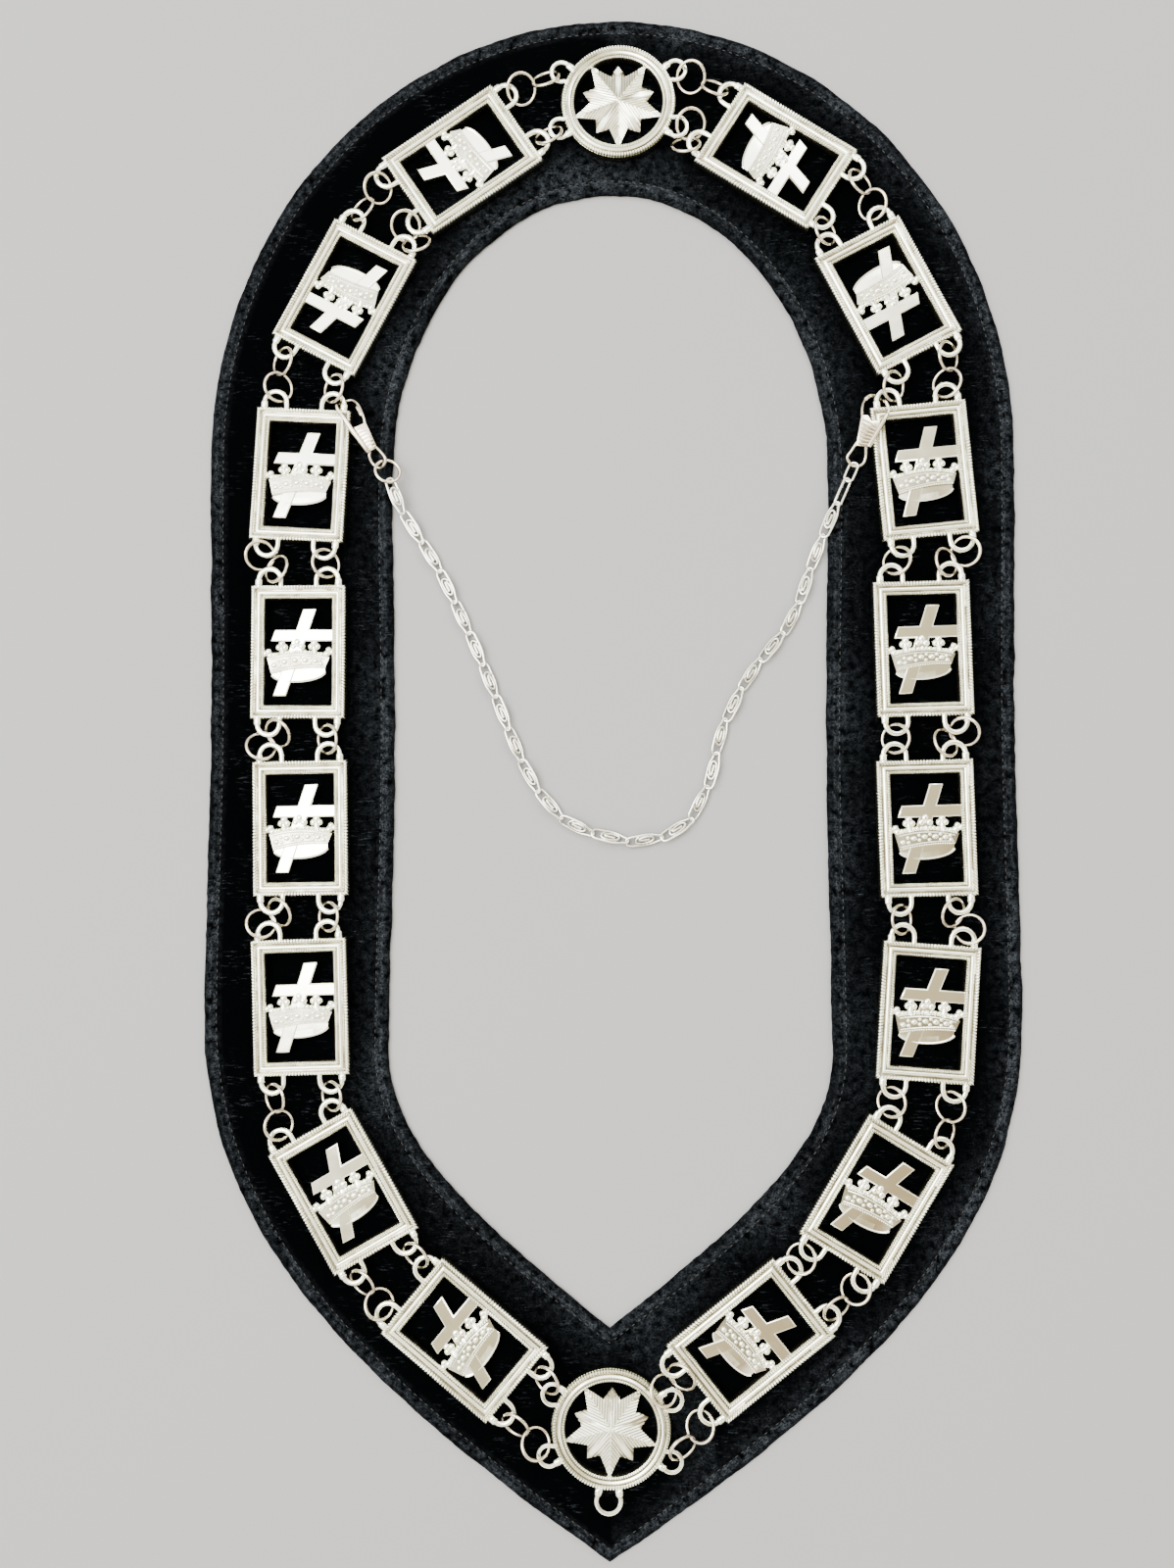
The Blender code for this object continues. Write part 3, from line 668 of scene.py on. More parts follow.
def cut_faces(bm, faces, spot, across):
    """Cuts the faces along a plane, and gives all that they then are."""
    geometry = {g for f in faces for g in (f, *f.edges, *f.verts)}
    return only(BMFace, bmesh.ops.bisect_plane(bm, geom=list(geometry), plane_co=spot,
                                               plane_no=across, dist=1e-8)["geom"])


def sink_short_point(bm, faces):
    film_and_shade = bm.verts.layers.float["film_and_shade"]
    waist = polar(WAIST, LOWEST + FIFTH / 2) * MM
    for turn in (LOWEST, LOWEST + FIFTH):
        tip = polar(LONG_TIP, turn) * MM
        faces = cut_faces(bm, faces, tip, (tip - waist).cross(UP).normalized())
    for vert in {v for f in faces for v in f.verts}:
        turn = math.atan2(vert.co.y, vert.co.x) - math.radians(LOWEST)
        turn = min(abs(turn), abs(math.radians(FIFTH) - turn))
        if vert.co.xy.length > (long_point_reach(turn) + 0.15) * MM:
            # painted shade: the short point is darkened to tan so that it reads apart from the
            # long points
            vert[film_and_shade] = max(vert[film_and_shade], SHORT_POINT_SHADE)
            vert.co.z -= SHORT_DROP * MM
    return faces


def add_star_face(bm):
    film_and_shade = bm.verts.layers.float["film_and_shade"]
    centre = bm.verts.new((0, 0, STAR_TOP * MM))
    rim = [bm.verts.new(polar(reach, LOWEST + turn, z) * MM) for turn, reach, z in SECTOR]
    faces = [bm.faces.new((centre, a, b)) for a, b in zip(rim, rim[1:])]
    along = polar(1, LOWEST + FIFTH / 2)
    across = UP.cross(along)
    for k in range(-GROOVE_CUTS, GROOVE_CUTS + 1):
        if k:
            faces = cut_faces(bm, faces, across * k * GROOVE * MM, across)
    for vert in {v for f in faces for v in f.verts}:
        step = vert.co.dot(across) / (GROOVE * MM)
        on_odd_cut = abs(step - round(step)) < 0.01 and round(step) % 2
        if on_odd_cut and vert.co.dot(along) < SMOOTH_TIP * MM:
            vert.co.z -= GROOVE_DEPTH * MM
            # the grooves are darkened to tan: polishing film and painted shade
            vert[film_and_shade] = GROOVE_FILM_AND_SHADE
    faces = sink_short_point(bm, faces)
    for turn in range(1, 5):
        copied = bmesh.ops.duplicate(bm, geom=faces)["geom"]
        bmesh.ops.rotate(bm, cent=(0, 0, 0), matrix=spun(FIFTH * turn).to_3x3(),
                         verts=only(BMVert, copied))
    bmesh.ops.remove_doubles(bm, verts=bm.verts, dist=0.001 * MM)


try_out("star face", add_star_face)

# %% [markdown]
# ## The star
# The face is only a surface, so it gets an edge and a back, which make it solid. A row of beads
# runs down the ridge of each long point, smaller and smaller, and one short point carries a boss.
# %% Star
RIDGE, RIDGE_BEADS = 15.2, 16
# a small square boss on the upper short point
BOSS_AT, BOSS_FOOT, BOSS_TOP, BOSS_HEIGHT = Vector((0, 10.6, 1.9)), 1.9, 1.35, 0.5


def add_boss(bm):
    bmesh.ops.create_cone(bm, cap_ends=True, segments=4, radius1=BOSS_FOOT * MM,
                          radius2=BOSS_TOP * MM, depth=BOSS_HEIGHT * MM,
                          matrix=Matrix.Translation(BOSS_AT * MM)
                          @ Matrix.Diagonal((0.85, 1.15, 1, 1)))


def add_star(bm):
    add_star_face(bm)
    drop_to_foot(bm, list(bm.faces), FOOT)
    for point in range(5):
        for k in range(1, RIDGE_BEADS + 1):
            reach = RIDGE * k / (RIDGE_BEADS + 1)
            top = STAR_TOP + (LONG_TIP_TOP - STAR_TOP) * reach / LONG_TIP
            add_bead(bm, *polar(reach, LOWEST + FIFTH * point, top), 0.36 - 0.006 * k)
    # the boss gets a little of the tan darkening: polishing film and painted shade
    add_detail(bm, lambda: add_boss(bm), film_and_shade=0.35)


try_out("star", add_star)

# %% [markdown]
# ## Medallion rings and loops
# The star sits in a round border of the same moulding as the plates, a little narrower. Four
# small loops like a C take the jump rings, each with a lump at one foot. The lower
# medallion has a fifth loop below, larger and with two lumps, for a hanging jewel.
# %% Medallions
NARROW = 0.9
LOOP_DISTANCE, LOOP_HALF, LOOP_BAR, LOOP_DEPTH = 21.6, 3.3, 1.4, 1.2
LOOP_ANGLES = (28, 152, 205, 335)
DROP_DISTANCE, DROP_HALF, DROP_BAR = 22.4, 3.9, 1.45


def add_round_loop(bm, angle, distance, half, width, lumps):
    """lumps holds -1 or 1 for each side of the loop that has a lump at its foot."""
    level = Vector((0, 0, EAR_LEVEL))
    out = polar(1, angle)
    across = UP.cross(out)
    middle = out * distance + level
    line = [middle + polar(half, angle + 15 * k) for k in range(-9, 10)]
    feet = [out * (MEDALLION_RADIUS - 1.2) + across * side * half * 0.62 + level
            for side in (-1, 1)]
    add_bar(bm, [feet[0], *line, feet[1]], width, LOOP_DEPTH, sides=10)
    for side in lumps:
        for reach in (0.4, 1.1):
            foot = out * (MEDALLION_RADIUS + reach) + across * side * (half * 0.8 + 0.3)
            add_bead(bm, foot.x, foot.y, EAR_LEVEL, LUMP * 0.95, 0.65, 2)


for node in ("medallion_top", "medallion_bottom"):
    bm = new_casting()
    add_star(bm)
    add_border(bm, circle_outline(MEDALLION_RADIUS), NARROW)
    for angle in LOOP_ANGLES:
        to_the_outside = 1 if 0 < angle < 90 or 180 < angle < 270 else -1
        add_round_loop(bm, angle, LOOP_DISTANCE, LOOP_HALF, LOOP_BAR, [to_the_outside])
    if node == "medallion_bottom":
        add_round_loop(bm, -90, DROP_DISTANCE, DROP_HALF, DROP_BAR, [-1, 1])
    bmesh.ops.transform(bm, matrix=place_of(node), verts=bm.verts)
    mesh = finished_mesh(node + "_cast", bm, [CAST], 32)
    add_piece(node + "_cast", mesh, [node])
    print(node, len(mesh.polygons), "faces")

# %% [markdown]
# ## Gaps between the ears
# Where a jump ring lies follows from the gap between its ears: a single one spans it, two in a
# wide gap lie in line, and two in a narrow gap flop beside each other. So the eyes of the ears are
# found first, then the two pairs of them that face each other across a gap.
# %% Gaps
RING_ROLL, PAIR_SPACING = 38, 8.8
TAUT_SPAN, SLACK_SPAN, FULL_SLACK = 8.5, 5.5, 2.1
# way along, offset, roll and pitch of a pair's first ring, where slack begins and where it ends
SLACK_BEGINS, SLACK_ENDS = (0.0, 2.4, 30, 17), (-0.3, 3.3, 26, 26)


def eyes_of(node):
    """The middle of the round part of each ear or loop, in millimetres."""
    if node.startswith("medallion"):
        spots = [polar(LOOP_DISTANCE, angle, EAR_LEVEL) for angle in LOOP_ANGLES]
    else:
        reach = PLATE_LENGTH / 2 + EAR_REACH - EAR_HALF
        spots = [Vector((x, y, EAR_LEVEL)) for x in (-EAR_OFFSET, EAR_OFFSET)
                 for y in (-reach, reach)]
    return [place_of(node) @ (spot * MM) / MM for spot in spots]


def facing_eyes(first, second, side):
    """The outer and the inner pair of eyes across one gap."""
    sign = 1 if side == "right" else -1
    middles = {node: sum(eyes_of(node), Vector()) / 4 for node in (first, second)}
    pairs = []
    for node, other in ((first, second), (second, first)):
        eyes = eyes_of(node)
        if node.startswith("medallion"):
            eyes = [eye for eye in eyes if (eye.x - middles[node].x) * sign > 0]
        eyes = sorted(eyes, key=lambda eye: (eye - middles[other]).length)[:2]
        pairs.append(sorted(eyes, key=lambda eye: -eye.xy.length))
    return list(zip(*pairs))


def ring_places(span, count, lean):
    """(way along, offset, roll, pitch) of each ring of a run."""
    if count == 1:
        return [(span / 2, 0, lean * RING_ROLL, 0)]
    if span > TAUT_SPAN:
        start = (span - PAIR_SPACING) / 2
        return [(start, 0, lean * RING_ROLL, 0),
                (start + PAIR_SPACING, 0, -lean * RING_ROLL, 0)]
    slack = min(1, max(0, (SLACK_SPAN - span) / (SLACK_SPAN - FULL_SLACK)))
    start, offset, roll, pitch = (begins + (ends - begins) * slack
                                  for begins, ends in zip(SLACK_BEGINS, SLACK_ENDS))
    return [(start, lean * offset, lean * roll, -pitch),
            (span - start, -lean * offset, -lean * roll, pitch)]


start, end = facing_eyes("plate_left_4", "plate_left_5", "left")[0]
print("between the outer eyes of two left plates:", round((end - start).length, 1), "mm")

# %% [markdown]
# ## Jump rings
# A jump ring is round wire bent in a circle with a fine butt joint, so a small circle is spun
# almost all the way and its ends are capped. The outer run of a gap has two rings, the inner one
# mostly one. The joints are turned from run to run, so that they don't line up.
# %% Jump rings
RING_RADIUS, RING_WIRE = 4.68, 1.12
EYE_RADIUS = 3.5
JOINT, JOINT_STEP = 40, 95
# gaps, counted down from the top medallion, with two rings in the inner run as in the outer one
INNER_PAIRS = {("left", 2), ("right", 1), ("right", 9)}
# gaps whose rings lean the other way, and runs moved along and sideways to keep clear of others
LEANING_BACK = {("left", 2), ("left", 4), ("right", 2), ("right", 3), ("right", 6)}
RUN_SHIFTS = {"rings_left_3_inner": (0, -0.15), "rings_right_3_inner": (0, 0.4),
              "rings_right_9_inner": (0.45, 0)}


def add_jump_ring(bm, middle, along, roll, pitch, radius=RING_RADIUS, joint=JOINT):
    """joint is where round the ring its ends meet."""
    forward = Vector((along.x, along.y, 0)).normalized()
    place = (Matrix.Translation(middle * MM) @ turned(forward, UP.cross(forward), UP)
             @ spun(roll, "X") @ spun(-pitch, "Y") @ spun(joint))
    start = place @ Matrix.Translation((radius * MM, 0, 0)) @ spun(90, "X")
    ring = bmesh.ops.create_circle(bm, segments=8, radius=RING_WIRE / 2 * MM, cap_ends=True,
                                   matrix=start)["verts"]
    face = next(iter({f for v in ring for f in v.link_faces}))
    bmesh.ops.spin(bm, geom=[face], cent=place.translation, axis=place.to_3x3() @ UP,
                   angle=math.radians(358), steps=40, use_merge=False, use_duplicate=False)


for side in ("left", "right"):
    order = ["medallion_top", *[f"plate_{side}_{i}" for i in range(1, 9)], "medallion_bottom"]
    bm = bmesh.new()
    runs = []
    for gap, (first, second) in enumerate(zip(order, order[1:]), 1):
        lean = -1 if (side, gap) in LEANING_BACK else 1
        counts = (2, 2 if (side, gap) in INNER_PAIRS else 1)
        rows = zip(("outer", "inner"), facing_eyes(first, second, side), counts)
        for row, (start, end), count in rows:
            name = f"rings_{side}_{gap}_{row}"
            forward = (end - start).normalized()
            sideways = UP.cross(forward)
            shift, side_shift = RUN_SHIFTS.get(name, (0, 0))
            edge = start + forward * (EYE_RADIUS + shift) + sideways * side_shift
            span = (end - start).length - 2 * EYE_RADIUS
            for way, offset, roll, pitch in ring_places(span, count, lean):
                add_jump_ring(bm, edge + forward * way + sideways * offset, forward, roll, pitch,
                              joint=JOINT + JOINT_STEP * len(runs))
            runs.append(name)
    mesh = finished_mesh(f"jump_rings_{side}", bm, [WIRE])
    add_piece(f"jump_rings_{side}", mesh, runs)
    print(side, "jump rings:", len(mesh.polygons), "faces")

# %% [markdown]
# ## Snap clips
# A clip is a small wedge of folded sheet with cross ribs to grip. A thick leg along one side goes
# on as the hook, which passes through an ear and comes back to a spring gate with a thicker end.
# A wire eye at the narrow end takes the chain. Lines are in millimetres, rounded between points.
# %% Clips
CLIPS = {
    "clip_left": dict(
        body=[(-84.7, 114.2), (-80.6, 115.9), (-77.1, 107.9), (-79.7, 106.3)],
        height=5.7, rise=0.16,
        leg=[(-88.9, 118.8, 7.6), (-85.1, 113.2, 7.1), (-82.0, 109.0, 6.2), (-80.0, 106.3, 5.4)],
        hook=[(-86.4, 115.6, 7.4), (-88.0, 117.5, 7.5),
              (-89.7, 119.7, 7.5), (-90.4, 121.3, 7.2), (-90.4, 122.5, 5.2), (-89.3, 123.4, 4.3),
              (-87.4, 124.1, 4.3), (-85.6, 124.1, 4.6), (-83.6, 122.4, 5.3), (-82.2, 119.6, 6.0),
              (-81.4, 117.2, 6.3), (-80.9, 114.8, 6.3)],
        gate=[(-84.1, 121.9, 5.3), (-82.9, 120.0, 5.7), (-82.0, 118.2, 6.1)],
        eye=[(-79.2, 107.8, 4.9), (-79.9, 105.6, 4.6), (-79.2, 103.4, 3.9), (-77.5, 101.8, 3.6),
             (-75.7, 101.6, 4.3), (-74.2, 103.6, 5.8), (-75.6, 106.0, 5.7), (-77.6, 108.2, 5.2)]),
    "clip_right": dict(
        body=[(82.4, 116.3), (84.6, 116.2), (85.7, 114.4), (87.6, 114.5), (88.6, 112.8),
              (84.9, 105.9), (80.7, 106.2)],
        height=7.9, rise=0.05,
        leg=[(91.3, 117.2, 7.9), (89.0, 113.2, 8.1), (86.6, 109.0, 8.1), (84.8, 105.9, 7.9)],
        hook=[(88.6, 112.6, 8.1), (90.2, 115.2, 7.9), (91.6, 118.0, 7.5),
              (91.1, 120.1, 7.5), (90.4, 121.2, 7.3), (90.1, 122.0, 5.2), (89.5, 123.2, 4.4),
              (87.6, 124.3, 4.3), (85.6, 123.6, 4.8), (83.9, 121.6, 5.8), (83.0, 119.0, 7.0),
              (82.7, 115.2, 8.1)],
        gate=[(87.3, 124.2, 4.4), (85.6, 123.6, 4.8), (84.3, 122.2, 5.5)],
        eye=[(81.2, 107.6, 7.7), (79.4, 104.9, 6.9), (78.2, 102.8, 6.2), (80.2, 100.3, 5.5),
             (83.0, 100.7, 5.5), (84.2, 102.9, 6.1), (83.9, 107.3, 7.7)]),
}
CLIP_WIRE, CLIP_BODY, CLIP_LEG, CLIP_GATE = 1.0, 1.5, 1.7, 1.75
LEG_TAPER = [0.6, 0.85, *[1] * 9, 0.95, 0.8]
GATE_TAPER = [0.6, 0.9, *[1] * 5, 0.9, 0.6]
GRIPS, GRIP_WIDTH, GRIP_DEPTH = 7, 0.62, 0.5


def add_wedge(bm, body, height, rise):
    """The folded sheet: an outline given a thickness, that climbs towards the hook."""
    middle = sum(y for _, y in body) / len(body)
    face = add_face(bm, body, 0)
    rim = list(face.edges)
    upper = list(face.verts)
    lower = only(BMVert, bmesh.ops.extrude_face_region(bm, geom=[face])["geom"])
    for verts, side in ((upper, 1), (lower, -1)):
        for vert in verts:
            climb = rise * (vert.co.y - middle * MM)
            vert.co.z = (height + side * CLIP_BODY / 2) * MM + climb
    soften(bm, rim, 0.25)
    left, right = Vector(body[0]), Vector(body[-3])
    low_left, low_right = Vector(body[-1]), Vector(body[-2])
    for k in range(GRIPS):
        share = 0.12 + 0.8 * k / (GRIPS - 1)
        ends = [left.lerp(low_left, share), right.lerp(low_right, share)]
        ends = [ends[0].lerp(ends[1], way) for way in (0.1, 0.9)]
        points = [Vector((p.x, p.y, height + CLIP_BODY / 2 + rise * (p.y - middle)))
                  for p in ends]
        add_bar(bm, points, GRIP_WIDTH, GRIP_DEPTH)


def add_clip(bm, body, height, rise, leg, hook, gate, eye):
    add_wedge(bm, body, height, rise)
    for route, width, taper in ((hook, CLIP_WIRE, None), (eye, CLIP_WIRE, None),
                                (leg, CLIP_LEG, LEG_TAPER), (gate, CLIP_GATE, GATE_TAPER)):
        add_bar(bm, smooth_line([Vector(p) for p in route], 4), width, sides=10, taper=taper)


for node, shape in CLIPS.items():
    bm = new_casting()
    add_clip(bm, **shape)
    add_piece(node + "_sprung", finished_mesh(node + "_sprung", bm, [WIRE]), [node])
bm = new_casting()
add_jump_ring(bm, middle_of("end_ring") / MM, Vector((-0.64, 0.77, 0)), 24, 0, 4.1, 200)
add_piece("end_ring_wire", finished_mesh("end_ring_wire", bm, [WIRE]), ["end_ring"])
print("clips:", len(CLIPS))

# %% [markdown]
# ## Scroll-link neck chain
# Each link is an oval of wire with an S scroll soldered in its waist, and open ends that hold the
# next link. One link is modelled along X and copied along the chain's route, and neighbours are
# rolled to opposite sides so that their ends pass through each other. The two links next to the
# right clip are plain ovals.
# %% Neck chain
CHAIN_ROUTE = [
    (-72.8, 97.0, 5.1), (-70.3, 90.2, 4.5), (-66.5, 83.0, 2.3), (-58.0, 69.5, 1.7),
    (-50.0, 53.5, 1.7), (-41.5, 34.5, 1.7), (-32.5, 12.0, 1.7), (-24.5, -4.5, 1.7),
    (-13.5, -16.5, 1.7), (0.0, -21.5, 1.7), (12.0, -22.5, 1.7), (25.0, -17.0, 1.7),
    (33.0, -3.0, 1.7), (37.5, 14.0, 1.7), (46.0, 31.0, 1.7), (60.0, 50.0, 1.7),
    (67.3, 69.0, 2.4), (70.4, 77.0, 4.2), (72.8, 83.0, 4.7), (76.0, 90.0, 4.9),
    (80.7, 100.9, 5.6),
]
LINK_WIRE, LINK_PITCH, LINK_ROLL = 0.9, 11.5, 18
# along and half width, on the wire's middle line, from the wide end to the narrow one
LINK_SIDE = [(-6.05, 0.0), (-5.75, 0.95), (-4.7, 1.5), (-3.2, 1.6), (-1.4, 1.72), (0.8, 1.75),
             (2.6, 1.5), (4.3, 1.0), (5.6, 0.8), (6.05, 0.0)]
LINK_REACH = 2 * LINK_SIDE[-1][0] - LINK_WIRE
SCROLL = [(-2.3, 1.4), (-2.9, 0.6), (-2.6, -0.4), (-1.1, -1.05), (1.2, -1.08), (2.7, -0.6),
          (2.8, 0.35), (1.6, 1.0), (-0.4, 1.0), (-1.7, 0.6), (-1.7, 0.1), (-0.4, -0.03),
          (1.7, -0.03)]
SCROLL_LEAN = 0.55
LINK_DEPTH, SCROLL_WIDTH, SCROLL_DEPTH = 0.85, 0.95, 1.0
# length and width
PLAIN_LINKS = [(7.4, 3.9), (10.2, 3.3)]


def scroll_link():
    """An oval that narrows to one end, filled in its middle by the wire's own scroll."""
    bm = new_casting()
    line = [Vector((x, y, 0)) for x, y in LINK_SIDE + [(x, -y) for x, y in LINK_SIDE[-2:0:-1]]]
    round_line = smooth_line(line[-2:] + line + line[:2], 2)[4:-4]
    add_bar(bm, round_line, LINK_WIRE, LINK_DEPTH, closed=True)
    scroll = smooth_line([Vector((x + SCROLL_LEAN * y, y, 0.1)) for x, y in SCROLL], 2)
    # the scroll, deep in the link, is darkened a little to tan as painted shade in its creases
    add_detail(bm, lambda: add_bar(bm, scroll, SCROLL_WIDTH, SCROLL_DEPTH), film_and_shade=0.3)
    return bm


def plain_link(length, width):
    bm = new_casting()
    half_x, half_y = (length - LINK_WIRE) / 2, (width - LINK_WIRE) / 2
    line = []
    for k in range(24):
        point = polar(half_y, 15 * k)
        if abs(point.x) > 0.1 * half_y:
            point.x += math.copysign(half_x - half_y, point.x)
        line.append(point)
    add_bar(bm, line, LINK_WIRE, closed=True)
    return bm


def length_of(line):
    return sum((b - a).length for a, b in zip(line, line[1:]))


def along_line(line, distance):
    """The point and direction at a distance along a line."""
    for a, b in zip(line, line[1:]):
        step = (b - a).length
        if distance <= step:
            return a.lerp(b, distance / step), (b - a).normalized()
        distance -= step
    return line[-1], (line[-1] - line[-2]).normalized()


route = smooth_line([Vector(p) for p in CHAIN_ROUTE], 12)
length = length_of(route)
left_over = length - sum(link - 2 * LINK_WIRE for link, _ in PLAIN_LINKS)
scrolls = round(left_over / LINK_PITCH)
stretch = left_over / scrolls / LINK_REACH
links = [(scroll_link(), left_over / scrolls, stretch)] * scrolls
links += [(plain_link(*size), size[0] - 2 * LINK_WIRE, 1.0) for size in reversed(PLAIN_LINKS)]
bm = new_casting()
travelled = 0.0
for k, (link, reach, longer) in enumerate(links):
    spot, forward = along_line(route, travelled + reach / 2)
    travelled += reach
    side = UP.cross(forward).normalized()
    placed = bpy.data.meshes.new("link")
    link.to_mesh(placed)
    placed.transform(Matrix.Translation(spot * MM) @ turned(forward, side, forward.cross(side))
                     @ spun(LINK_ROLL * (1 if k % 2 else -1), "X")
                     @ Matrix.Diagonal((longer, 1, 1, 1)))
    bm.from_mesh(placed)
    bpy.data.meshes.remove(placed)
add_piece("neck_chain_links", finished_mesh("neck_chain_links", bm, [CHAIN]), ["neck_chain"])
print("chain:", scrolls, "scroll links over", round(length), "mm")

# %% [markdown]
# ## Velvet
# The band is stiffened cloth under crushed velvet. Its pile is black where one looks into it, and
# where it lies over it is painted blue-grey, as painted sheen. The painted sheen of lying pile
# shows in three ways: fine short streaks everywhere, mottled patches in the areas that the
# nap_sheen attribute marks, and fine lines along the hems that the hem_sheen attribute marks. Both
# attributes come with the mesh, so the marks follow the band.
# %% Velvet finish
# the black of upright pile, and the grey that paints the sheen of pile that lies over
PILE_BLACK, PILE_SHEEN_GREY = (0.0002, 0.0003, 0.0004), (0.033, 0.0385, 0.046)


def pattern(tree, place, scale, detail, low, high, peak=1.0):
    """Noise in metres, and the same cut to black below low and to its peak above high."""
    stretch = node_of(tree, "ShaderNodeMapping", Vector=place, Scale=scale)
    cloud = node_of(tree, "ShaderNodeTexNoise", Vector=stretch.outputs["Vector"], Scale=1.0,
                    Detail=detail, Distortion=0.3).outputs["Fac"]
    return cloud, ramp_of(tree, cloud, [(low, (0, 0, 0)), (high, (peak,) * 3)])


def velvet_finish():
    material, tree, shader, place = new_finish("crushed_velvet")
    _, streaks = pattern(tree, place, (300, 2100, 600), 2, 0.60, 0.74, 0.6)
    _, sparse = pattern(tree, place, (60, 60, 60), 2, 0.45, 0.62)
    crumple, mottle = pattern(tree, place, (420, 420, 420), 5, 0.34, 0.70)
    tuft, tufts = pattern(tree, place, (2000, 2000, 2000), 2, 0.34, 0.68)
    hem_sheen, nap_sheen = [joined(tree, "MULTIPLY", attribute_of(tree, name), mottle)
                for name in ("hem_sheen", "nap_sheen")]
    sheen_of_lying_pile = joined(tree, "ADD", hem_sheen, nap_sheen)
    sheen_of_lying_pile = joined(tree, "ADD", sheen_of_lying_pile, joined(tree, "MULTIPLY", streaks, sparse))
    sheen_of_lying_pile = joined(tree, "MULTIPLY", sheen_of_lying_pile, tufts)
    rough = node_of(tree, "ShaderNodeMapRange", Value=sheen_of_lying_pile, To_Min=0.95, To_Max=0.7)
    fine = node_of(tree, "ShaderNodeBump", Height=tuft, Strength=0.6, Distance=0.12 * MM)
    broad = node_of(tree, "ShaderNodeBump", Height=crumple, Normal=fine.outputs["Normal"],
                    Strength=0.7, Distance=0.5 * MM)
    # base colour: black, with painted sheen grey where the pile lies over
    set_inputs(tree, shader, Normal=broad.outputs["Normal"], Roughness=rough.outputs["Result"],
               Base_Color=ramp_of(tree, sheen_of_lying_pile, [(0, PILE_BLACK), (1, PILE_SHEEN_GREY)]),
               Sheen_Weight=0.015, Sheen_Roughness=0.4, Sheen_Tint=(0.6, 0.7, 0.9, 1),
               Specular_IOR_Level=0.005)
    return material


VELVET = velvet_finish()
print("velvet:", VELVET.name)

# %% [markdown]
# ## The band's edges
# Both edges are drawn alike: a half ellipse round the neck, a straight side, and a curve down to
# the point in front. One function gives a point of either edge's right half, and the left half
# mirrors it. The area between the edges is the cloth that is cut out for the face.
# %% Edges of the band
# spring is where the straight side ends and the arch begins, shoulder where the point begins, and
# the pulls are how far the curve to the tip leaves each end along its own direction
OUTER_EDGE = dict(half_width=134.4, spring=107, crown=255, waist=1.1, shoulder=-79,
                  shoulder_pull=75, tip=-255, tip_pull=97, tip_angle=34)
INNER_EDGE = dict(half_width=72.8, spring=100, crown=195, waist=1.4, shoulder=-91,
                  shoulder_pull=30, tip=-181, tip_pull=60, tip_angle=38)
EDGE_STEPS = 150
COLUMNS = 6 * EDGE_STEPS


def edge_point(way, half_width, spring, crown, waist, shoulder, shoulder_pull, tip, tip_pull,
               tip_angle):
    """A point of an edge's right half; way goes from 0 at the top to 3 at the front point."""
    if way <= 1:
        a = math.radians(90 - 90 * way)
        return Vector((half_width * math.cos(a), spring + (crown - spring) * math.sin(a)))
    if way <= 2:
        t = way - 1
        return Vector((half_width - waist * math.sin(math.pi * t) ** 2,
                       spring + (shoulder - spring) * t))
    t = way - 2
    rise = math.radians(tip_angle)
    a, b = Vector((half_width, shoulder)), Vector((half_width, shoulder - shoulder_pull))
    c = Vector((tip_pull * math.cos(rise), tip + tip_pull * math.sin(rise)))
    d = Vector((0, tip))
    return (1 - t) ** 3 * a + 3 * t * (1 - t) ** 2 * b + 3 * t * t * (1 - t) * c + t ** 3 * d


def edges_at(column):
    """The outer and the inner edge's points in one column, the first being at the top."""
    mirrored = column > COLUMNS / 2
    way = (COLUMNS - column if mirrored else column) / EDGE_STEPS
    points = [edge_point(way, **edge) for edge in (OUTER_EDGE, INNER_EDGE)]
    return [Vector((-p.x, p.y)) if mirrored else p for p in points]


def flat_area():
    """The area between the two edges, in square metres."""
    area = 0
    for line, sign in ((0, 1), (1, -1)):
        points = [edges_at(column)[line] for column in range(COLUMNS)]
        for a, b in zip(points, points[1:] + points[:1]):
            area += sign * (b.x * a.y - a.x * b.y) / 2
    return abs(area) * MM * MM


print("cloth:", round(flat_area() * 1e4), "cm2")

# %% [markdown]
# ## Pile marks
# Velvet looks paler where its pile lies over, as the pile catches the light, and this paleness is
# painted sheen. A pale strip with two fine lines of painted sheen runs along each hem, from the
# sewing. Patches of painted sheen spread from the edges where the band was handled, most of all
# behind the neck. Both are numbers, 0 for upright pile, stored at the points of the band's mesh.
# %% Pile marks
SEAM_X = 25.0
# inset, width and strength
HEM_LINES = ((2.55, 0.35, 0.75), (3.95, 0.3, 1.0))
# how far the patches reach in from the inner edge, and from the outer one on either side
INNER_REACH, RIGHT_REACH, LEFT_REACH = 20, 15, 6
# the patch of painted sheen behind the neck, left of the seam, and the streak of it beside the
# point in front
NECK_FROM, NECK_LEFT, NECK_REACH = 185, -60, 26
POINT_FROM, POINT_X, POINT_HALF, POINT_WIDTH = -150, 12, 22, 14


def cloud(spot, across, along, seed):
    """Smooth noise from -1 to 1, in patches of this size."""
    return noise.noise(Vector((spot.x / across, spot.y / along, seed)))


def pale_cloud(spot, across, along, seed):
    return cloud(spot, across, along, seed) * 0.5 + 0.5


def hem_sheen_mark(inset):
    """Painted sheen of pile that lies over along a rolled edge: two fine lines over a paler strip.
    """
    strip = 0.35 if 2.0 < inset < 4.3 else 0.08 if inset < 6 else 0.0
    return max([strip] + [bright * math.exp(-((inset - middle) / width) ** 2)
                          for middle, width, bright in HEM_LINES])


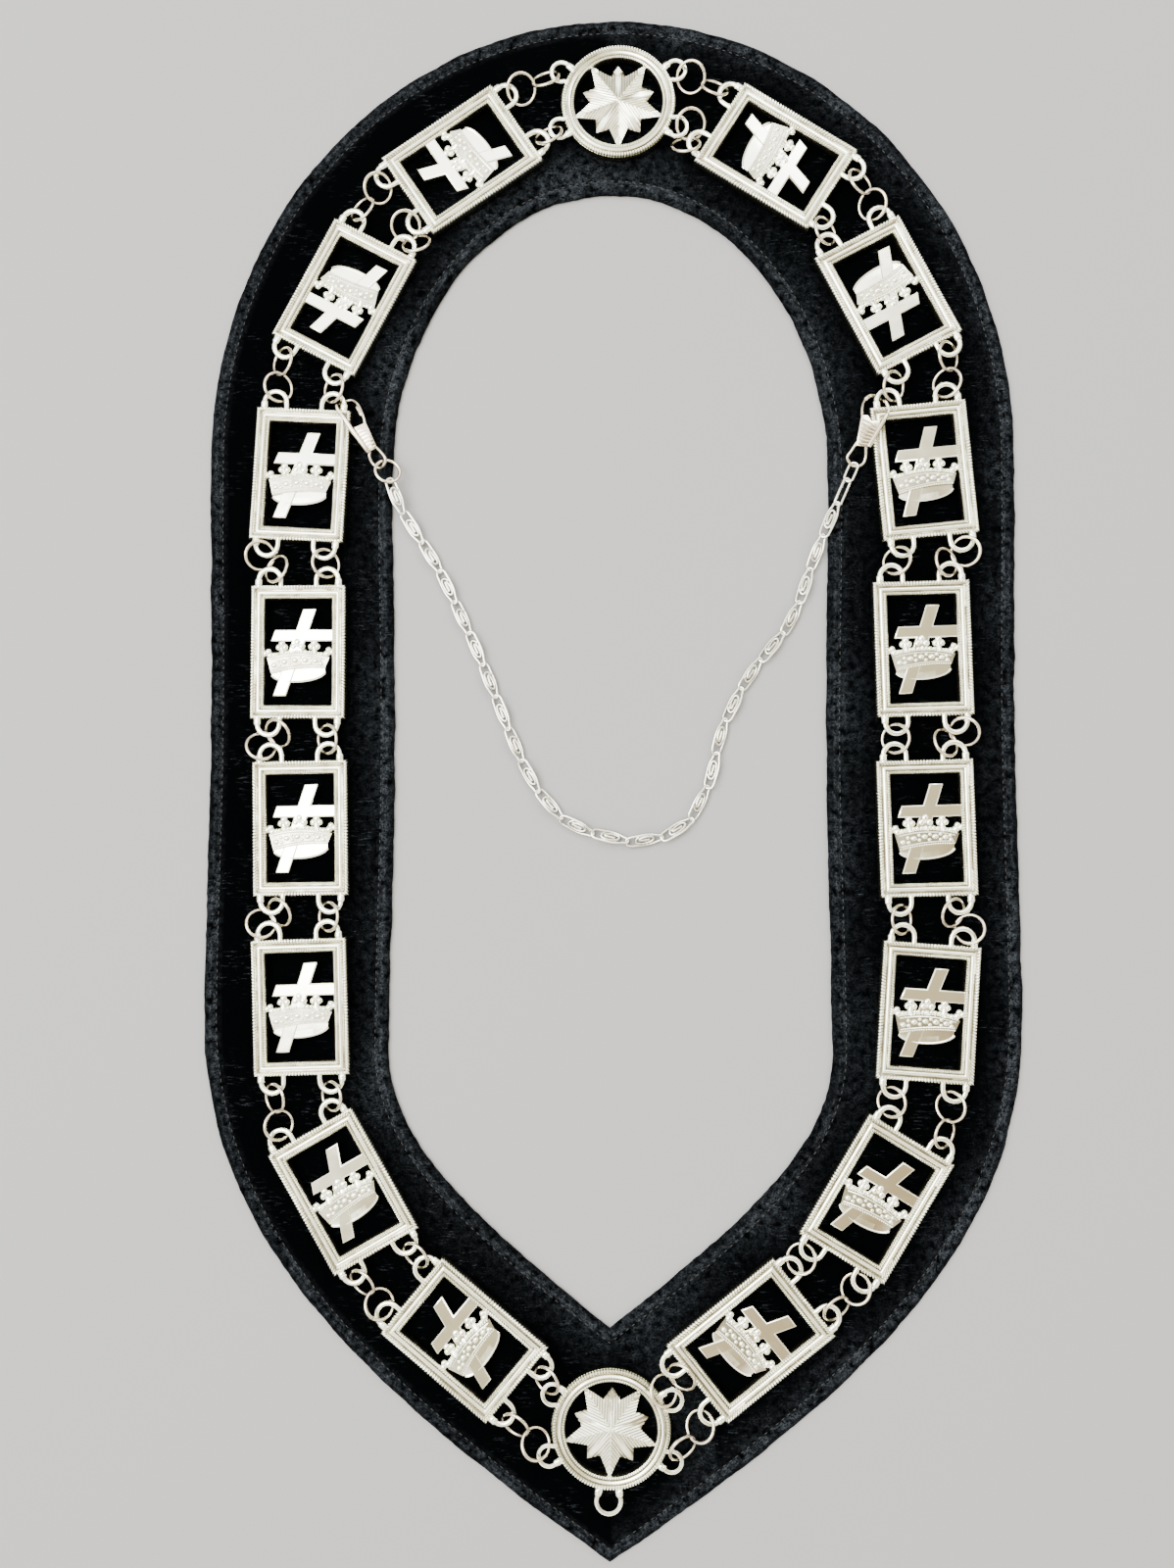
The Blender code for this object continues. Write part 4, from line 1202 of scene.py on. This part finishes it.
def nap_sheen_mark(spot, inset, from_inside):
    """Painted sheen in patches where the pile lies over: near the edges, and more so above the
    seam and at the point.
    """
    reach = INNER_REACH if from_inside else RIGHT_REACH if spot.x > 0 else LEFT_REACH
    patch = pale_cloud(spot, 26, 40, 5.0) if from_inside else pale_cloud(spot, 14, 22, 6.0)
    mark = max(0.0, 1 - inset / reach) * (0.25 + 1.5 * max(0, patch - 0.4))
    if spot.y > NECK_FROM and from_inside and NECK_LEFT < spot.x < SEAM_X:
        mark += 0.3 * max(0.0, 1 - inset / NECK_REACH)
    if spot.y < POINT_FROM and abs(spot.x - POINT_X) < POINT_HALF:
        off_streak = abs(spot.x - POINT_X + (spot.y - INNER_EDGE["tip"]) / 2)
        mark += 0.35 * max(0, 1 - off_streak / POINT_WIDTH)
    return min(1.0, mark)


print("mark on a hem's lines:", [round(hem_sheen_mark(line[0]), 2) for line in HEM_LINES])

# %% [markdown]
# ## The band
# A grid is wrapped round the band, its columns running along the collar and its rows going over
# the top and back underneath. The section has a rolled hem at each edge and a stitched seam
# behind it. Slow noise lifts and sinks the padding a little and lets the cut edges wander.
# %% Band
# distance in from an edge and height in millimetres, up the rolled hem and over the seam
HEM_SECTION = [(0.0, 0.9), (0.25, 1.6), (0.8, 2.2), (1.6, 2.55), (2.5, 2.6), (3.3, 2.35),
               (3.9, 1.85), (4.3, 1.6), (4.7, 1.8), (5.5, 2.15), (6.8, 2.35)]
MIDDLE_ROWS = 36
FOOT_ROWS = [(0.1, 0.35), (0.5, 0.0), (3.0, 0.0)]


def section_rows():
    """Where each row lies: from the outer or inner edge by a distance, or across the middle or
    under the band by a share, and how high."""
    rows = [("outer", d, z) for d, z in HEM_SECTION]
    rows += [("middle", k / MIDDLE_ROWS, 2.38) for k in range(1, MIDDLE_ROWS)]
    rows += [("inner", d, z) for d, z in reversed(HEM_SECTION)]
    rows += [("inner", d, z) for d, z in FOOT_ROWS]
    rows += [("under", k / 8, 0.0) for k in range(1, 8)]
    return rows + [("outer", d, z) for d, z in reversed(FOOT_ROWS)]


def padding(spot):
    """How far the stuffing lifts or sinks the cloth, in millimetres."""
    return 0.07 * cloud(spot, 34, 34, 3.0) + 0.05 * cloud(spot, 7, 2.6, 9.0)


def edge_wobble(spot):
    """How far the cut edge wanders, in millimetres."""
    return 0.45 * cloud(spot, 11, 11, 20.0) + 0.22 * cloud(spot, 2.4, 2.4, 30.0)


SEAM_WIDTH, SEAM_DEPTH = 1.1, 0.4
WANDER_REACH = 6
FACE_FROM, MARKS_FROM, SEAM_FROM = 1.2, 0.8, 150


def band_mesh():
    rows = section_rows()
    bm = bmesh.new()
    hem_sheen = bm.verts.layers.float.new("hem_sheen")
    nap_sheen = bm.verts.layers.float.new("nap_sheen")
    grid = bmesh.ops.create_grid(bm, x_segments=COLUMNS, y_segments=len(rows), size=0.5)["verts"]
    edges = [edges_at(column % COLUMNS) for column in range(COLUMNS + 1)]
    inward, foot = HEM_SECTION[-1][0], FOOT_ROWS[-1][0]
    for vert in grid:
        outer, inner = edges[round((vert.co.x + 0.5) * COLUMNS)]
        kind, value, height = rows[round((vert.co.y + 0.5) * len(rows)) % len(rows)]
        width = (inner - outer).length
        share = {"outer": value / width, "inner": 1 - value / width,
                 "under": 1 - (foot + value * (width - 2 * foot)) / width,
                 "middle": (inward + value * (width - 2 * inward)) / width}[kind]
        spot = outer.lerp(inner, share)
        near = min(share, 1 - share) * width
        edge, way = (outer, 1) if share < 0.5 else (inner, -1)
        wander = edge_wobble(edge) * max(0, 1 - near / WANDER_REACH)
        spot += (inner - outer).normalized() * wander * way
        lift = padding(spot) if height > FACE_FROM else 0
        if height > FACE_FROM and spot.y > SEAM_FROM:
            lift -= SEAM_DEPTH * math.exp(-((spot.x - SEAM_X) / SEAM_WIDTH) ** 2)
        vert.co = Vector((spot.x, spot.y, height + lift)) * MM
        top = kind != "under" and height > MARKS_FROM
        # painted sheen of pile that lies over: along the hems, and in patches
        vert[hem_sheen] = hem_sheen_mark(near) * (0.4 + pale_cloud(spot, 18, 18, 12.0)) if top else 0.0
        vert[nap_sheen] = nap_sheen_mark(spot, near, share > 0.5) if top else 0.0
    bmesh.ops.remove_doubles(bm, verts=bm.verts, dist=0.002 * MM)
    return finished_mesh("velvet_cloth", bm, [VELVET], 180)


cloth = add_piece("velvet_cloth", band_mesh(), ["velvet_band"])
print("velvet:", len(cloth.data.polygons), "faces")

# %% [markdown]
# ## Stitching
# A row of short black stitches holds each hem down. A stitch is a long bead, laid end to end
# along the seam with a gap, and all of them are one mesh.
# %% Stitches
STITCH, STITCH_WIDTH, STITCH_PITCH, STITCH_LEVEL = 1.5, 0.32, 2.4, 1.68
SEAM_INSET = 4.45


def thread_finish():
    material, tree, shader, place = new_finish("black_thread")
    twist = node_of(tree, "ShaderNodeTexNoise", Vector=place, Scale=3000, Detail=2).outputs["Fac"]
    rough = node_of(tree, "ShaderNodeMapRange", Value=twist, To_Min=0.45, To_Max=0.7)
    set_inputs(tree, shader, Sheen_Weight=0.05, Roughness=rough.outputs["Result"],
               Base_Color=ramp_of(tree, twist, [(0.35, (0.001, 0.001, 0.0015)),
                                                (0.7, (0.006, 0.007, 0.009))]))
    return material


def seam_line(edge, other):
    line = []
    for column in range(COLUMNS):
        points = edges_at(column)
        span = points[other] - points[edge]
        line.append((points[edge] + span.normalized() * SEAM_INSET).to_3d())
    return line + line[:1]


bm = bmesh.new()
for line in (seam_line(0, 1), seam_line(1, 0)):
    length = length_of(line)
    count = round(length / STITCH_PITCH)
    for k in range(count):
        spot, forward = along_line(line, length * (k + 0.5) / count)
        add_bead(bm, spot.x, spot.y, STITCH_LEVEL, STITCH_WIDTH / 2, stretch=STITCH / STITCH_WIDTH,
                 turn=math.degrees(math.atan2(forward.y, forward.x)))
stitches = new_object("hem_stitches", finished_mesh("hem_stitches", bm, [thread_finish()]))
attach(stitches, "root")
print("stitches:", len(stitches.data.polygons), "faces")

# %% [markdown]
# ## Floor
# The collar lies on a plain pale floor, wide enough to fill every view of it.
# %% Floor
bm = bmesh.new()
bmesh.ops.create_grid(bm, x_segments=1, y_segments=1, size=8)
paper, tree, shader, _ = new_finish("pale_paper")
set_inputs(tree, shader, Base_Color=(0.22, 0.22, 0.223, 1), Roughness=0.9)
floor = new_object("floor", finished_mesh("floor", bm, [paper]))
print("floor:", floor.name, "at height 0")

# %% [markdown]
# ## Light
# Polished metal shows the room more than its own colour, so the room matters here. A soft window
# stands on the left and a weak fill at the back. The ceiling is bright all round at middle
# height. Straight above it is bright towards the window, and warm and dim on the other side,
# where the person with the camera stands, so flat faces on that side look tan.
# %% Light
def add_softbox(name, place, size, power, colour):
    """A rectangular lamp at a place in metres, aimed at the collar's middle."""
    data = bpy.data.lights.new(name, "AREA")
    data.shape = "RECTANGLE"
    data.size, data.size_y = size
    data.energy = power
    data.color = colour
    lamp = new_object(name, data)
    lamp.location = place
    lamp.rotation_euler = (-Vector(place)).to_track_quat("-Z", "Y").to_euler()


add_softbox("window", (-0.52, 0.08, 1.1), (0.62, 1.0), power=30, colour=(1.0, 0.99, 0.96))
add_softbox("fill", (0.5, 0.9, 1.0), (0.6, 0.4), power=8, colour=(0.96, 0.98, 1.0))


def mixed(tree, kind, factor, first, second):
    node = tree.nodes.new("ShaderNodeMix")
    node.data_type = "RGBA"
    node.blend_type = kind
    set_inputs(tree, node, Factor=factor, A=first, B=second)
    return node.outputs["Result"]


WINDOW_SIDE = (-0.8, 0.6, 0.0)
world = bpy.data.worlds.new("studio")
world.use_nodes = True
tree = world.node_tree
ray = tree.nodes.new("ShaderNodeTexCoord").outputs["Generated"]
side = tree.nodes.new("ShaderNodeVectorMath")
side.operation = "DOT_PRODUCT"
side.inputs[1].default_value = WINDOW_SIDE
tree.links.new(ray, side.inputs[0])
# from 0 on the side away from the window to 1 on the window's side
share = node_of(tree, "ShaderNodeMapRange", Value=side.outputs["Value"], From_Min=-1,
                From_Max=1).outputs["Result"]
height = node_of(tree, "ShaderNodeSeparateXYZ", Vector=ray).outputs["Z"]
# tones of the ceiling straight above and of the room round it, where the one gives way to the
# other, and how much both darken towards the floor
above = ramp_of(tree, share,
                [(0.30, (0.10, 0.072, 0.038)), (0.36, (0.155, 0.13, 0.082)),
                 (0.47, (0.165, 0.145, 0.092)), (0.52, (0.30, 0.28, 0.22)),
                 (0.56, (0.75, 0.74, 0.68)), (0.60, (1, 1, 0.97))])
around = ramp_of(tree, share,
                 [(0.15, (0.80, 0.75, 0.64)), (0.45, (0.95, 0.93, 0.86)), (0.70, (1, 1, 0.97))])
overhead = ramp_of(tree, height, [(0.74, (0, 0, 0)), (0.86, (1, 1, 1))])
level = ramp_of(tree, height,
                [(0.05, (0.06, 0.055, 0.05)), (0.4, (0.30, 0.29, 0.27)),
                 (0.7, (0.80, 0.80, 0.78)), (0.85, (1, 1, 1))])
room = mixed(tree, "MULTIPLY", 1.0, mixed(tree, "MIX", overhead, around, above), level)
set_inputs(tree, tree.nodes["Background"], Color=room, Strength=6.5)
bpy.context.scene.world = world

# %% [markdown]
# ## Camera
# The camera stands above the collar and looks almost straight down, a little off its middle.
# %% Camera
CAMERA_AT = Vector((2.1, -18.5, 375.7))
camera_data = bpy.data.cameras.new("camera")
camera_data.lens = 26.0
camera_data.sensor_width = 36
camera_data.clip_start = 0.01
camera = new_object("camera", camera_data)
camera.matrix_world = Matrix.Translation(CAMERA_AT * MM) @ spun(1.45, "Y") @ spun(2.21, "X")
bpy.context.scene.camera = camera
print("camera", round(CAMERA_AT.z), "mm above the floor")
